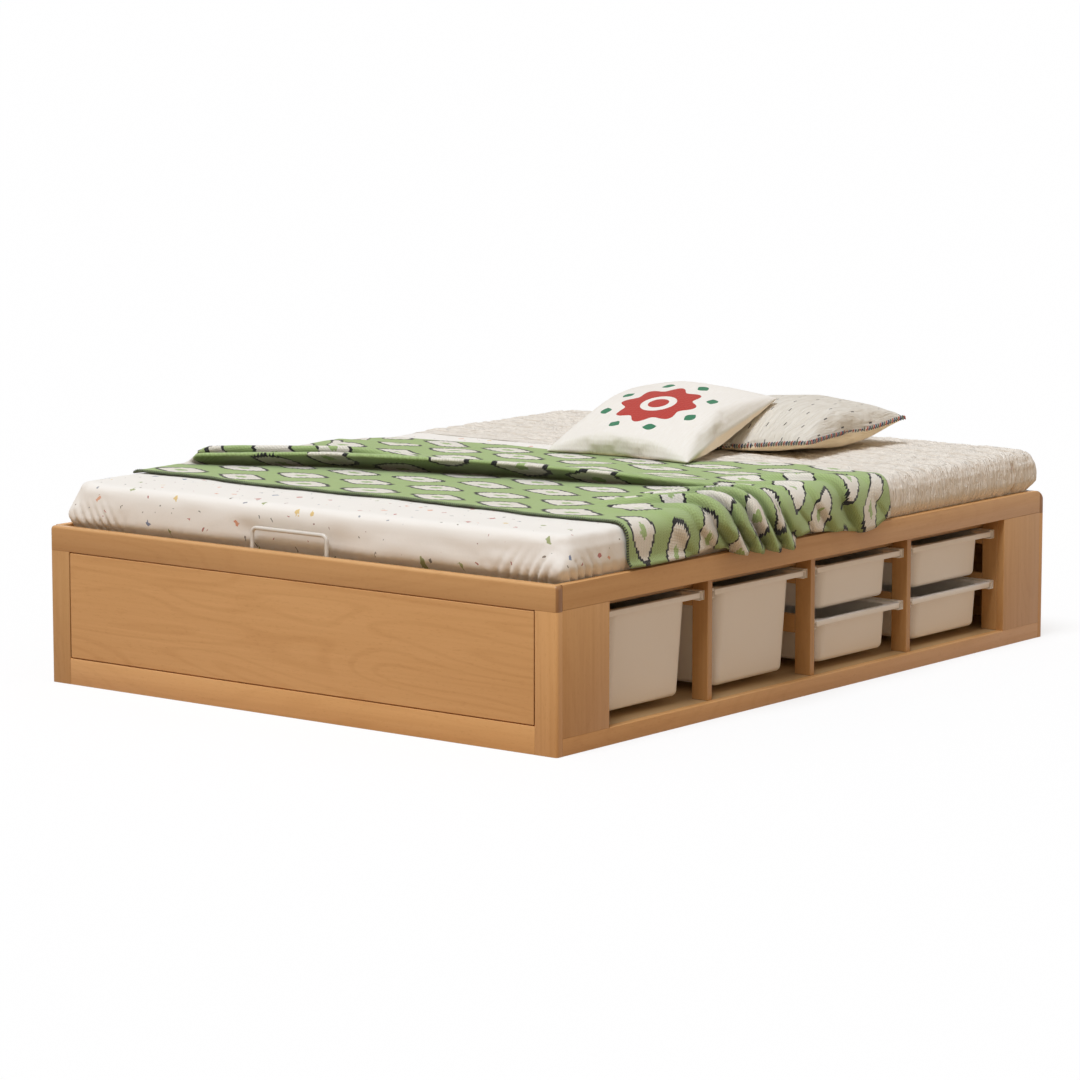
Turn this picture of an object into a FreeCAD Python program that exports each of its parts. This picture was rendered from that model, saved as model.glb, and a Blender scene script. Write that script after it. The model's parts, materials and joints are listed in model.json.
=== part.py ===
import FreeCAD, Part
import math
import os

# Storage platform bed: a beech box with toy bins in one side and a lifting mattress deck.
# Millimetres. +X is the side with the bins, -Y the foot end, +Z up, origin on the floor at the box's middle.

# Mattress and the room left round it
mattress_width = 1500.0
mattress_length = 1980.0
mattress_height = 150.0
mattress_corner = 45.0
mattress_edge = 28.0
mattress_bulge = 4.0
mattress_tuck = 16.0
side_gap = 10.0
foot_gap = 21.0
head_gap = 19.0
mattress_recess = 46.0

# Box boards
box_height = 386.0
board = 20.0
end_top_rail = 60.0
end_bottom_rail = 64.0
end_stile = 62.0
panel_groove = 3.0
panel_face = 8.0
corner_round = 7.0
top_corner_round = 10.0
head_end_round = 40.0
arris = 1.5
side_top_rail = 58.0
side_bottom_rail = 40.0

# Bays for the bins
bay_count = 4
side_stile = 173.0
bay_depth = 436.0
post = 18.0
post_depth = 45.0
cross_rail = 44.0
lower_rail_raise = 4.0
back_panel = 12.0
floor_panel = 12.0
bearer_width = 40.0
bearer_count = 3

# Runners
runner_height = 22.0
runner_depth = 20.5
runner_wall = 2.0
runner_setback = 10.0
runner_drop = 4.0

# Bins
bin_wall = 2.5
bin_corner = 36.0
bin_bottom_round = 12.0
bin_draft = 1.0 / 15.0
bin_head_room = 1.0
bin_seat = 0.3
bin_side_room = 4.0
bin_body_gap = 26.0
bin_lip = 13.0
bin_lip_setback = 8.0
bin_front_rim = 12.0
bin_rear_rim = 8.0
bin_rear_gap = 12.0
bin_floor_gap = 18.0
bin_stack_gap = 22.0
gusset_length = 30.0
gusset_height = 9.0

# Lifting deck
slat_count = 13
slat_width = 70.0
slat_thickness = 12.0
slat_start = 15.0
deck_rail_height = 24.0
deck_rail_width = 30.0
deck_side_gap = 14.0
deck_end_gap = 25.0
deck_post_gap = 3.0
mid_rail_x = -200.0
back_rail_lap = 8.0
ledger_width = 40.0
ledger_height = 30.0
ledger_gap = 1.0

# Lifting handle
handle_rod = 10.0
handle_width = 240.0
handle_x = -30.0
handle_rise = 52.0
handle_bend = 14.0
handle_board_gap = 3.0
handle_tab_width = 28.0
handle_tab_thickness = 3.0

# Lift hinge at the head
hinge_back = 10.0
hinge_drop = 10.0
hinge_pin = 8.0
hinge_arm_width = 18.0
hinge_arm_thickness = 5.0
hinge_plate_thickness = 3.0
hinge_plate_depth = 48.0
hinge_plate_height = 42.0
hinge_pin_head = 12.0
pivot_clearance = 0.1
arm_foot_room = 3.0

# Gas struts
strut_base_back = 110.0
strut_base_rise = 45.0
strut_top_back = 330.0
strut_top_drop = 16.0
strut_barrel = 20.0
strut_rod = 10.0
strut_eye = 18.0
strut_eye_width = 12.0
strut_eye_neck = 4.0
strut_rod_inset = 58.0
strut_closed_end = 56.0
strut_neck = 60.0
strut_stud = 9.0
strut_plate = 3.0
strut_plate_size = 50.0
strut_end_gap = 0.4

# Corner brackets and bolts
bracket_leg = 42.0
bracket_height = 80.0
bracket_thickness = 3.0
bracket_rise = 130.0
bolt_shank = 6.0
bolt_head = 11.0
bolt_head_height = 4.0
bolt_depth = 14.0
bolt_clearance = 0.1
bolt_inset = 16.0

# Bedding
soft_clearance = 0.3
pad_thickness = 4.0
pad_reach = 676.0
throw_thickness = 5.0
throw_from_foot = 224.0
throw_from_head = 691.0
throw_side_room = 3.0
throw_hem_room = 2.0
ridge_places = (175.0, 365.0, 455.0, 550.0, 675.0)
ridge_width = 160.0
ridge_height = 30.0
rumple_height = 10.0
fold_height = 12.0
cushion_size = 450.0
cushion_thickness = 92.0
cushion_under = 0.2
cushion_turn = 2.3
cushion_lean = 16.7
cushion_x = 37.0
cushion_from_head = 622.0
pillow_length = 455.0
pillow_width = 455.0
pillow_thickness = 111.0
pillow_under = 0.37
pillow_turn = 0.0
pillow_x = 220.0
pillow_from_head = 331.0
settle_height = 80.0

# Pillow profile above and below its seam: share of the outline, then as shares of the pillow's width
# how far the sides draw in and the corner radius, and last the share of the height
crown_levels = (
    (1.0, 0.04, 0.06, 0.0), (0.94, 0.02, 0.13, 0.22), (0.76, 0.004, 0.2, 0.6),
    (0.5, -0.015, 0.18, 0.9), (0.2, -0.006, 0.07, 1.0),
)
belly_levels = (
    (1.0, 0.04, 0.06, 0.0), (0.92, 0.02, 0.13, 0.35),
    (0.72, 0.004, 0.19, 0.8), (0.5, -0.01, 0.16, 1.0),
)

# Sizes that follow
inner_width = mattress_width + 2 * side_gap
inner_length = mattress_length + foot_gap + head_gap
box_width = inner_width + 2 * board
box_length = inner_length + 2 * board
side_x = inner_width / 2
end_y = inner_length / 2
deck_top = box_height - mattress_recess
slat_bottom = deck_top - slat_thickness
rail_bottom = slat_bottom - deck_rail_height
floor_top = side_bottom_rail
opening = inner_length - 2 * side_stile
bay_width = (opening - (bay_count - 1) * post) / bay_count
bay_pitch = bay_width + post
back_x = side_x - bay_depth
post_back = side_x - post_depth
back_post_front = back_x + post_depth
runner_top = rail_bottom - runner_drop
bin_top = runner_top - runner_wall - bin_head_room
bin_stack = bin_top - floor_top - bin_floor_gap
shallow_depth = (bin_stack - bin_stack_gap) / 2
tall_depth = bin_stack
tier_pitch = shallow_depth + bin_stack_gap
deck_x = side_x - deck_side_gap
deck_y = end_y - deck_end_gap
right_rail_x = post_back - deck_post_gap
back_rail_x = back_x - back_rail_lap
hinge_y = end_y - hinge_back
hinge_z = box_height - hinge_drop
mattress_foot = foot_gap - end_y
mattress_head = end_y - head_gap
mattress_top = deck_top + soft_clearance + mattress_height
pad_top = mattress_top + soft_clearance + pad_thickness
throw_foot_edge = mattress_foot + throw_from_foot
throw_head_edge = mattress_head - throw_from_head
pad_start = mattress_head - pad_reach
strut_base_y = end_y - strut_base_back
strut_base_z = floor_top + strut_base_rise
strut_top_y = end_y - strut_top_back
strut_top_z = slat_bottom - strut_top_drop


def vec(x, y, z):
    return FreeCAD.Vector(x, y, z)


# Basic shapes

def box(x0, x1, y0, y1, z0, z1):
    return Part.makeBox(x1 - x0, y1 - y0, z1 - z0, vec(x0, y0, z0))


def eased(shape, radius, wanted):
    edges = [edge for edge in shape.Edges if wanted(edge)]
    return shape.makeFillet(radius, edges)


def plank(x0, x1, y0, y1, z0, z1):
    return eased(box(x0, x1, y0, y1, z0, z1), arris, lambda edge: True)


def rod_x(x0, x1, y, z, diameter):
    return Part.makeCylinder(diameter / 2, x1 - x0, vec(x0, y, z), vec(1, 0, 0))


def near(a, b):
    return abs(a - b) < 0.01


def edge_on(axis, value):
    """A test for edges that lie wholly in one plane square to an axis."""
    return lambda edge: all(near(v.Point[axis], value) for v in edge.Vertexes)


def both(first, second):
    return lambda edge: first(edge) and second(edge)


def polygon_x(x0, x1, points):
    """A prism along X from a closed outline of (y, z) points."""
    corners = [vec(x0, y, z) for y, z in points]
    outline = Part.makePolygon(corners + corners[:1])
    return Part.Face(outline).extrude(vec(x1 - x0, 0, 0))


def mirrored_x(shape):
    return shape.mirror(vec(0, 0, 0), vec(1, 0, 0))


def mirrored_y(shape):
    return shape.mirror(vec(0, 0, 0), vec(0, 1, 0))


def group(shapes):
    return Part.makeCompound(shapes)


# Boards of the box

def framed_board(width, face, rounded):
    """Rails, stiles and a flush panel, standing across Y with their outer face at y = -face."""
    half = width / 2
    inner = -face + board
    rail_z = box_height - end_top_rail
    stile_x = half - end_stile
    top_rail = box(-half, half, -face, inner, rail_z, box_height)
    stile = box(-half, -stile_x, -face, inner, 0, rail_z)
    if rounded:
        corner = lambda edge: edge_on(2, box_height)(edge) and abs(edge.CenterOfMass.x) > half - 0.01
        top_rail = eased(top_rail, top_corner_round, corner)
        below = edge_on(2, rail_z)
        top_rail = eased(top_rail, corner_round, lambda edge: edge_on(1, -face)(edge) and not below(edge))
        stile = eased(stile, corner_round, both(edge_on(1, -face), edge_on(0, -half)))
    bottom_rail = box(-stile_x, stile_x, -face, inner, 0, end_bottom_rail)
    backing = box(-stile_x, stile_x, -face + panel_face, inner, end_bottom_rail, rail_z)
    g = panel_groove
    field = box(g - stile_x, stile_x - g, -face, -face + panel_face, end_bottom_rail + g, rail_z - g)
    field = eased(field, arris, edge_on(1, -face))
    return {
        "top_rail": top_rail,
        "bottom_rail": bottom_rail,
        "left_stile": stile,
        "right_stile": mirrored_x(stile),
        "panel": backing.fuse(field),
    }


def head_end_cutter():
    """What the rounded top of the head end takes off, a bar along X with one hollow quarter-round side."""
    y0 = box_length / 2 - head_end_round
    z0 = box_height - head_end_round
    width = box_width + 2 * board
    bar = box(-width / 2, width / 2, y0, y0 + 2 * head_end_round, z0, z0 + 2 * head_end_round)
    return bar.cut(rod_x(-width / 2, width / 2, y0, z0, 2 * head_end_round))


def end_boards():
    foot = framed_board(box_width, box_length / 2, True)
    nodes = {}
    for name, shape in foot.items():
        nodes["foot_" + name] = shape
        nodes["head_" + name] = mirrored_y(shape)
    nodes["head_top_rail"] = nodes["head_top_rail"].cut(head_end_cutter())
    return nodes


def left_side():
    nodes = {}
    for name, shape in framed_board(inner_length, box_width / 2, False).items():
        shape.rotate(vec(0, 0, 0), vec(0, 0, 1), -90)
        nodes["left_side_" + name] = shape
    nodes["left_side_top_rail"] = nodes["left_side_top_rail"].cut(head_end_cutter())
    nodes["left_side_head_stile"] = nodes.pop("left_side_left_stile")
    nodes["left_side_foot_stile"] = nodes.pop("left_side_right_stile")
    return nodes


def right_side():
    outer = side_x + board
    open_y = opening / 2
    rail_z = box_height - side_top_rail
    top_rail = box(side_x, outer, -end_y, end_y, rail_z, box_height)
    top_rail = eased(top_rail, arris, both(edge_on(0, outer), lambda e: e.Length > inner_length / 2))
    bottom_rail = box(side_x, outer, -end_y, end_y, 0, side_bottom_rail)
    bottom_rail = eased(bottom_rail, arris, both(edge_on(0, outer), edge_on(2, side_bottom_rail)))
    stile = box(side_x, outer, open_y, end_y, side_bottom_rail, rail_z)
    stile = eased(stile, arris, both(edge_on(0, outer), edge_on(1, open_y)))
    return {
        "right_side_top_rail": top_rail.cut(head_end_cutter()),
        "right_side_bottom_rail": bottom_rail,
        "right_side_head_stile": stile,
        "right_side_foot_stile": mirrored_y(stile),
    }


# Bays behind the right side

def post_places():
    """The foot-side face of each divider post, the outer two standing just behind the wide stiles."""
    return [i * bay_pitch - opening / 2 - post for i in range(bay_count + 1)]


def posts(x0, x1, top):
    return group([plank(x0, x1, y, y + post, floor_top, top) for y in post_places()])


def cross_rails(places, top):
    return group([plank(back_post_front, post_back, y, y + post, top - cross_rail, top) for y in places])


def bay_middle(i):
    return i * bay_pitch - opening / 2 + bay_width / 2


def dividers():
    lower_top = runner_top - tier_pitch - runner_height / 2 + cross_rail / 2 + lower_rail_raise
    return {
        "front_posts": posts(post_back, side_x, slat_bottom),
        "back_posts": posts(back_x, back_post_front, rail_bottom),
        "upper_cross_rails": cross_rails(post_places(), rail_bottom),
        "lower_cross_rails": cross_rails(post_places()[bay_count // 2:], lower_top),
    }


def floors():
    seam_x = back_x - back_panel / 2
    low = floor_top - floor_panel
    pitch = inner_length / bearer_count
    bearers = []
    for i in range(bearer_count):
        y = (i + 0.5) * pitch - end_y
        bearers.append(plank(-side_x, side_x, y - bearer_width / 2, y + bearer_width / 2, 0, low))
    return {
        "storage_floor": box(-side_x, seam_x, -end_y, end_y, low, floor_top),
        "bay_floor": box(seam_x, side_x, -end_y, end_y, low, floor_top),
        "bay_back_panel": box(back_x - back_panel, back_x, -end_y, end_y, floor_top, rail_bottom),
        "floor_bearers": group(bearers),
    }


def ledgers():
    low = rail_bottom - ledger_height
    inside = end_y - ledger_width
    foot = plank(-side_x, back_x - back_panel, -end_y, -inside, low, rail_bottom)
    left = plank(-side_x, ledger_width - side_x, ledger_gap - inside, inside - ledger_gap, low, rail_bottom)
    return group([foot, mirrored_y(foot), left])


# Runners and bins

def runner(y_face, side, top):
    """A channel on one side wall of a bay; side is the way its open mouth looks."""
    deep = y_face + side * runner_depth
    wall = y_face + side * runner_wall
    low = top - runner_height
    outline = [
        (y_face, low), (deep, low), (deep, low + runner_wall), (wall, low + runner_wall),
        (wall, top - runner_wall), (deep, top - runner_wall), (deep, top), (y_face, top),
    ]
    return polygon_x(back_x + bin_rear_gap, side_x - runner_setback, outline)


def runner_pair(i, top):
    middle = bay_middle(i)
    return [runner(middle - bay_width / 2, 1, top), runner(middle + bay_width / 2, -1, top)]


def bay_runners():
    nodes = {}
    for i in range(bay_count):
        tops = [runner_top]
        if i >= bay_count // 2:
            tops.append(runner_top - tier_pitch)
        channels = [channel for top in tops for channel in runner_pair(i, top)]
        nodes["bay_%d_runners" % (i + 1)] = group(channels)
    return nodes


def rounded_rectangle(x0, x1, y0, y1, z, r):
    """A level outline of four lines and four quarter arcs."""
    b = r * (1 - math.sqrt(0.5))
    sides = [
        ((x0 + r, y0), (x1 - r, y0), (x1 - b, y0 + b), (x1, y0 + r)),
        ((x1, y0 + r), (x1, y1 - r), (x1 - b, y1 - b), (x1 - r, y1)),
        ((x1 - r, y1), (x0 + r, y1), (x0 + b, y1 - b), (x0, y1 - r)),
        ((x0, y1 - r), (x0, y0 + r), (x0 + b, y0 + b), (x0 + r, y0)),
    ]
    edges = []
    for start, turn, middle, end in sides:
        a, t, m, e = [vec(p[0], p[1], z) for p in (start, turn, middle, end)]
        edges.append(Part.LineSegment(a, t).toShape())
        edges.append(Part.Arc(t, m, e).toShape())
    return Part.Wire(edges)


def tub(x0, x1, half, inset, bottom):
    """The drafted body of a bin below its rim, shrunk by a wall, down to its rounded bottom."""
    turn_in = bin_bottom_round - inset
    levels = []
    for degrees in (0, 30, 60, 90):
        turn = math.radians(degrees)
        levels.append((bottom + turn_in * (1 - math.cos(turn)), turn_in * (1 - math.sin(turn))))
    levels.append((0.0, 0.0))
    wires = []
    for z, drawn_in in levels:
        shrink = inset + drawn_in - z * bin_draft
        r = bin_corner - shrink
        wires.append(rounded_rectangle(x0 + shrink, x1 - shrink, shrink - half, half - shrink, z, r))
    return Part.makeLoft(wires, True, True)


def storage_bin(depth):
    """One bin with its rim at z = 0 and its middle on y = 0."""
    front = side_x - bin_lip_setback
    rear = back_x + bin_rear_gap
    mouth = bay_width / 2 - runner_depth
    reach = bay_width / 2 - runner_wall - bin_side_room
    half = mouth - bin_body_gap
    lip_half = mouth - bin_head_room
    wing_front = side_x - runner_setback - bin_seat
    body_front = front - bin_front_rim
    body_rear = rear + bin_rear_rim
    edge_low = bin_head_room + bin_seat + 2 * runner_wall - runner_height
    rim = box(rear, front, -lip_half, lip_half, -bin_wall, 0)
    wings = box(rear, wing_front, -reach, reach, -bin_wall, 0)
    edges = [box(rear, wing_front, reach - bin_wall, reach, edge_low, 0)]
    edges.append(mirrored_y(edges[0]))
    lip = box(front - bin_wall, front, -lip_half, lip_half, -bin_lip, 0)
    gusset = box(front - gusset_length, front - bin_wall, lip_half - bin_wall, lip_half, -gusset_height, 0)
    outer = tub(body_rear, body_front, half, 0, -depth)
    inner = tub(body_rear, body_front, half, bin_wall, bin_wall - depth)
    shell = outer.fuse([rim, wings, lip, gusset, mirrored_y(gusset)] + edges)
    return shell.cut(inner).removeSplitter()


def bins():
    tall = storage_bin(tall_depth)
    shallow = storage_bin(shallow_depth)
    nodes = {}
    for i in range(bay_count):
        y = bay_middle(i)
        if i < bay_count // 2:
            nodes["tall_bin_%d" % (i + 1)] = tall.translated(vec(0, y, bin_top))
        else:
            nodes["upper_bin_%d" % (i + 1)] = shallow.translated(vec(0, y, bin_top))
            nodes["lower_bin_%d" % (i + 1)] = shallow.translated(vec(0, y, bin_top - tier_pitch))
    return nodes


# Lifting deck

def deck_rails():
    z0, z1 = rail_bottom, slat_bottom
    w = deck_rail_width
    inside = deck_y - w
    foot = plank(-deck_x, right_rail_x, -deck_y, -inside, z0, z1)
    head = plank(-deck_x, deck_x, inside, deck_y, z0, z1)
    mids = [plank(x, x + w, -inside, inside, z0, z1) for x in (mid_rail_x, back_rail_x)]
    return {
        "deck_left_rail": plank(-deck_x, w - deck_x, -inside, inside, z0, z1),
        "deck_right_rail": plank(right_rail_x - w, right_rail_x, -inside, inside, z0, z1),
        "deck_mid_rails": group(mids),
        "deck_foot_rail": foot,
        "deck_head_rail": head,
    }


def slats():
    first = deck_rail_width + slat_start - deck_y
    pitch = (deck_y - slat_width - first) / (slat_count - 1)
    boards = []
    for i in range(slat_count):
        y = first + i * pitch
        boards.append(plank(-deck_x, deck_x, y, y + slat_width, slat_bottom, deck_top))
    return group(boards)


def bent_path(points, radius):
    """A wire of straight runs joined by tangent arcs."""
    edges = []
    last = points[0]
    for before, corner, after in zip(points, points[1:], points[2:]):
        back = (before - corner).normalize()
        ahead = (after - corner).normalize()
        turn = math.pi - back.getAngle(ahead)
        run = radius * math.tan(turn / 2)
        bisector = (back + ahead).normalize()
        middle = corner + bisector * (radius / math.cos(turn / 2) - radius)
        start, end = corner + back * run, corner + ahead * run
        edges.append(Part.LineSegment(last, start).toShape())
        edges.append(Part.Arc(start, middle, end).toShape())
        last = end
    edges.append(Part.LineSegment(last, points[-1]).toShape())
    return Part.Wire(edges)


def lift_handle():
    r = handle_rod / 2
    x = handle_width / 2 - r
    y = handle_board_gap + r - end_y
    low = slat_bottom + r
    high = box_height + handle_rise - r
    inside = deck_rail_width - deck_y
    stops = [(-x, inside, low), (-x, y, low), (-x, y, high), (x, y, high), (x, y, low), (x, inside, low)]
    points = [vec(handle_x + px, py, pz) for px, py, pz in stops]
    section = Part.Wire(Part.makeCircle(r, points[0], vec(0, 1, 0)))
    loop = bent_path(points, handle_bend).makePipeShell([section], True, False)
    half = handle_tab_width / 2
    tab_top = slat_bottom + handle_tab_thickness
    tabs = []
    for px in (handle_x - x, handle_x + x):
        tabs.append(box(px - half, px + half, -deck_y, inside, slat_bottom, tab_top))
    return loop.fuse(tabs)


# Hinges and struts

def hinge_plate():
    """Fixed plate and pin at the right head corner."""
    x = side_x - hinge_plate_thickness
    arm_x = deck_x + hinge_arm_thickness
    top = hinge_z + hinge_pin_head / 2 + arris
    plate = box(x, side_x, end_y - hinge_plate_depth, end_y, top - hinge_plate_height, top)
    pin = rod_x(deck_x - hinge_plate_thickness, x, hinge_y, hinge_z, hinge_pin)
    head = rod_x(deck_x - hinge_plate_thickness, deck_x - strut_end_gap, hinge_y, hinge_z, hinge_pin_head)
    collar = rod_x(arm_x + strut_end_gap, x, hinge_y, hinge_z, hinge_pin_head)
    return plate.fuse([pin, head, collar])


def hinge_arm():
    """Arm from the end of the deck's head rail up to the pin."""
    x0, x1 = deck_x, deck_x + hinge_arm_thickness
    r = hinge_arm_width / 2
    low_y = deck_y - deck_rail_width / 2
    low_z = rail_bottom + arm_foot_room + r
    run = vec(0, hinge_y - low_y, hinge_z - low_z)
    across = run.cross(vec(1, 0, 0)).normalize() * r
    foot, pivot = vec(x0, low_y, low_z), vec(x0, hinge_y, hinge_z)
    corners = [foot + across, pivot + across, pivot - across, foot - across]
    bar = Part.Face(Part.makePolygon(corners + corners[:1])).extrude(vec(x1 - x0, 0, 0))
    ends = [rod_x(x0, x1, p.y, p.z, hinge_arm_width) for p in (foot, pivot)]
    hole = rod_x(x0, x1, hinge_y, hinge_z, hinge_pin + 2 * pivot_clearance)
    return bar.fuse(ends).cut(hole).removeSplitter()


def strut_line():
    """The strut's lower pivot, its direction and its closed length, seen in the Y-Z plane."""
    base = vec(0, strut_base_y, strut_base_z)
    run = vec(0, strut_top_y, strut_top_z) - base
    return base, vec(run.x, run.y, run.z).normalize(), run.Length


def strut_middle(rail_face, way):
    """The X of a strut's own plane beside a deck rail; way is the X direction from the rail to the strut."""
    return rail_face + way * (strut_plate + strut_stud + strut_end_gap + strut_eye_width / 2)


def strut_barrel_shape(x):
    base, along, length = strut_line()
    base = base + vec(x, 0, 0)
    half = strut_eye_width / 2
    body_start = strut_eye / 2 + strut_eye_neck
    body_length = length - strut_rod_inset - body_start
    body = Part.makeCylinder(strut_barrel / 2, body_length, base + along * body_start, along)
    neck = Part.makeCylinder(strut_rod / 2, body_start + strut_eye_neck, base, along)
    eye = rod_x(x - half, x + half, base.y, base.z, strut_eye)
    pin_hole = rod_x(x - half, x + half, base.y, base.z, hinge_pin + 2 * pivot_clearance)
    bore_radius = strut_rod / 2 + pivot_clearance
    bore = Part.makeCylinder(bore_radius, length, base + along * strut_closed_end, along)
    return eye.fuse([neck, body]).cut([pin_hole, bore]).removeSplitter()


def strut_rod_shape(x):
    base, along, length = strut_line()
    start = base + vec(x, 0, 0) + along * strut_neck
    rod = Part.makeCylinder(strut_rod / 2, length - strut_neck, start, along)
    half = strut_eye_width / 2
    eye = rod_x(x - half, x + half, strut_top_y, strut_top_z, strut_eye)
    return rod.fuse(eye).removeSplitter()


def strut_base_bracket(wall_x, x, way):
    """Plate on a wall of the well with a boss and a pin through the barrel's eye."""
    half = strut_plate_size / 2
    boss_end = x - way * (strut_eye_width / 2 + strut_end_gap)
    pin_end = x + way * (strut_eye_width / 2 + strut_end_gap + strut_plate)
    plate_end = wall_x + way * strut_plate
    y, z = strut_base_y, strut_base_z
    plate = box(min(wall_x, plate_end), max(wall_x, plate_end), y - half, y + half, z - half / 2, z + half)
    boss = rod_x(min(plate_end, boss_end), max(plate_end, boss_end), y, z, strut_eye)
    pin = rod_x(min(boss_end, pin_end), max(boss_end, pin_end), y, z, hinge_pin)
    cap_start = x + way * (strut_eye_width / 2 + strut_end_gap)
    cap = rod_x(min(cap_start, pin_end), max(cap_start, pin_end), y, z, hinge_pin_head)
    return plate.fuse([boss, pin, cap])


def strut_top_bracket(rail_face, way):
    """Plate on a deck rail with a stud that ends just short of the rod's eye."""
    plate_end = rail_face + way * strut_plate
    stud_end = plate_end + way * strut_stud
    y, z = strut_top_y, strut_top_z
    half = strut_plate_size / 2
    low, high = rail_bottom + arris, slat_bottom - arris
    plate = box(min(rail_face, plate_end), max(rail_face, plate_end), y - half, y + half, low, high)
    stud = rod_x(min(plate_end, stud_end), max(plate_end, stud_end), y, z, hinge_pin)
    return plate.fuse(stud)


def lift_gear():
    left_face = deck_rail_width - deck_x
    right_face = back_rail_x
    left_x = strut_middle(left_face, 1)
    right_x = strut_middle(right_face, -1)
    plate, arm = hinge_plate(), hinge_arm()
    bases = [strut_base_bracket(-side_x, left_x, 1), strut_base_bracket(back_x - back_panel, right_x, -1)]
    tops = [strut_top_bracket(left_face, 1), strut_top_bracket(right_face, -1)]
    return {
        "hinge_plates": group([plate, mirrored_x(plate)]),
        "hinge_arms": group([arm, mirrored_x(arm)]),
        "strut_base_brackets": group(bases),
        "strut_top_brackets": group(tops),
        "left_strut_barrel": strut_barrel_shape(left_x),
        "left_strut_rod": strut_rod_shape(left_x),
        "right_strut_barrel": strut_barrel_shape(right_x),
        "right_strut_rod": strut_rod_shape(right_x),
    }


# Corner brackets and their bolts

def bolt_axes():
    """Seat and outward-from-board direction of each bolt of the right foot corner."""
    x, y = side_x - bracket_thickness, bracket_thickness - end_y
    far = bracket_leg - bolt_inset
    axes = []
    for z in (bracket_rise + bolt_inset, bracket_rise + bracket_height - bolt_inset):
        axes.append((vec(x, far - end_y, z), vec(-1, 0, 0)))
        axes.append((vec(side_x - far, y, z), vec(0, 1, 0)))
    return axes


def bolt(seat, way):
    head = Part.makeCylinder(bolt_head / 2, bolt_head_height, seat, way)
    shank = Part.makeCylinder(bolt_shank / 2, bracket_thickness + bolt_depth, seat, way * -1)
    return head.fuse(shank)


def bolt_hole(seat, way):
    radius = bolt_shank / 2 + bolt_clearance
    return Part.makeCylinder(radius, bracket_thickness + bolt_depth + bolt_clearance, seat, way * -1)


def four_corners(shapes):
    foot = shapes + [mirrored_x(shape) for shape in shapes]
    return foot + [mirrored_y(shape) for shape in foot]


def corner_bracket():
    x, y = side_x, -end_y
    t = bracket_thickness
    z0, z1 = bracket_rise, bracket_rise + bracket_height
    legs = box(x - t, x, y, y + bracket_leg, z0, z1).fuse(box(x - bracket_leg, x, y, y + t, z0, z1))
    return legs.cut([bolt_hole(seat, way) for seat, way in bolt_axes()]).removeSplitter()


def corner_fastenings():
    return {
        "corner_brackets": group(four_corners([corner_bracket()])),
        "bracket_bolts": group(four_corners([bolt(seat, way) for seat, way in bolt_axes()])),
    }


def drilled(nodes):
    """Bolt holes in the boards that meet at the corners."""
    holes = group(four_corners([bolt_hole(seat, way) for seat, way in bolt_axes()]))
    for name in list(nodes):
        if name.endswith("stile") or name.endswith("panel"):
            if nodes[name].distToShape(holes)[0] < bolt_clearance:
                nodes[name] = nodes[name].cut(holes)
    return nodes


# Bedding

def mattress_form(grow, low):
    """Rounded block whose sides swell a little and draw in at the bottom; grow lays a cover over it."""
    x, y0, y1 = mattress_width / 2 + grow, mattress_foot - grow, mattress_head + grow
    top = deck_top + soft_clearance + mattress_height + grow
    e = mattress_edge
    levels = [(low, mattress_bulge), (low + mattress_tuck, 0.0), ((low + top) / 2, -mattress_bulge)]
    for degrees in (0, 30, 60, 90):
        turn = math.radians(degrees)
        levels.append((top - e + e * math.sin(turn), e - e * math.cos(turn)))
    wires = []
    for z, inset in levels:
        r = mattress_corner + grow - min(inset, mattress_corner / 2)
        wires.append(rounded_rectangle(inset - x, x - inset, y0 + inset, y1 - inset, z, r))
    return Part.makeLoft(wires, True, False)


def quilted_pad():
    low = deck_top + soft_clearance
    cover = mattress_form(soft_clearance + pad_thickness, low)
    hollow = mattress_form(soft_clearance, low - soft_clearance)
    far = box_length
    keep = box(-far, far, pad_start, far, box_height - mattress_recess / 2, 2 * box_height)
    return cover.cut(hollow).common(keep)


def fold_section(origin, out, foot, head, knots, crests):
    """A closed outline across the throw: a straight underside and one arc for each fold on top."""
    def at(y, n):
        return origin + vec(0, y, 0) + out * n
    ends = [foot] + knots + [head]
    edges = [Part.LineSegment(at(foot, 0), at(head, 0)).toShape()]
    edges.append(Part.LineSegment(at(head, 0), at(head, throw_thickness)).toShape())
    for start, end, crest in reversed(list(zip(ends, ends[1:], crests))):
        a, b = at(end, throw_thickness), at(start, throw_thickness)
        m = at((start + end) / 2, throw_thickness + crest)
        edges.append(Part.Arc(a, m, b).toShape())
    edges.append(Part.LineSegment(at(foot, throw_thickness), at(foot, 0)).toShape())
    return Part.Wire(edges)


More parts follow.
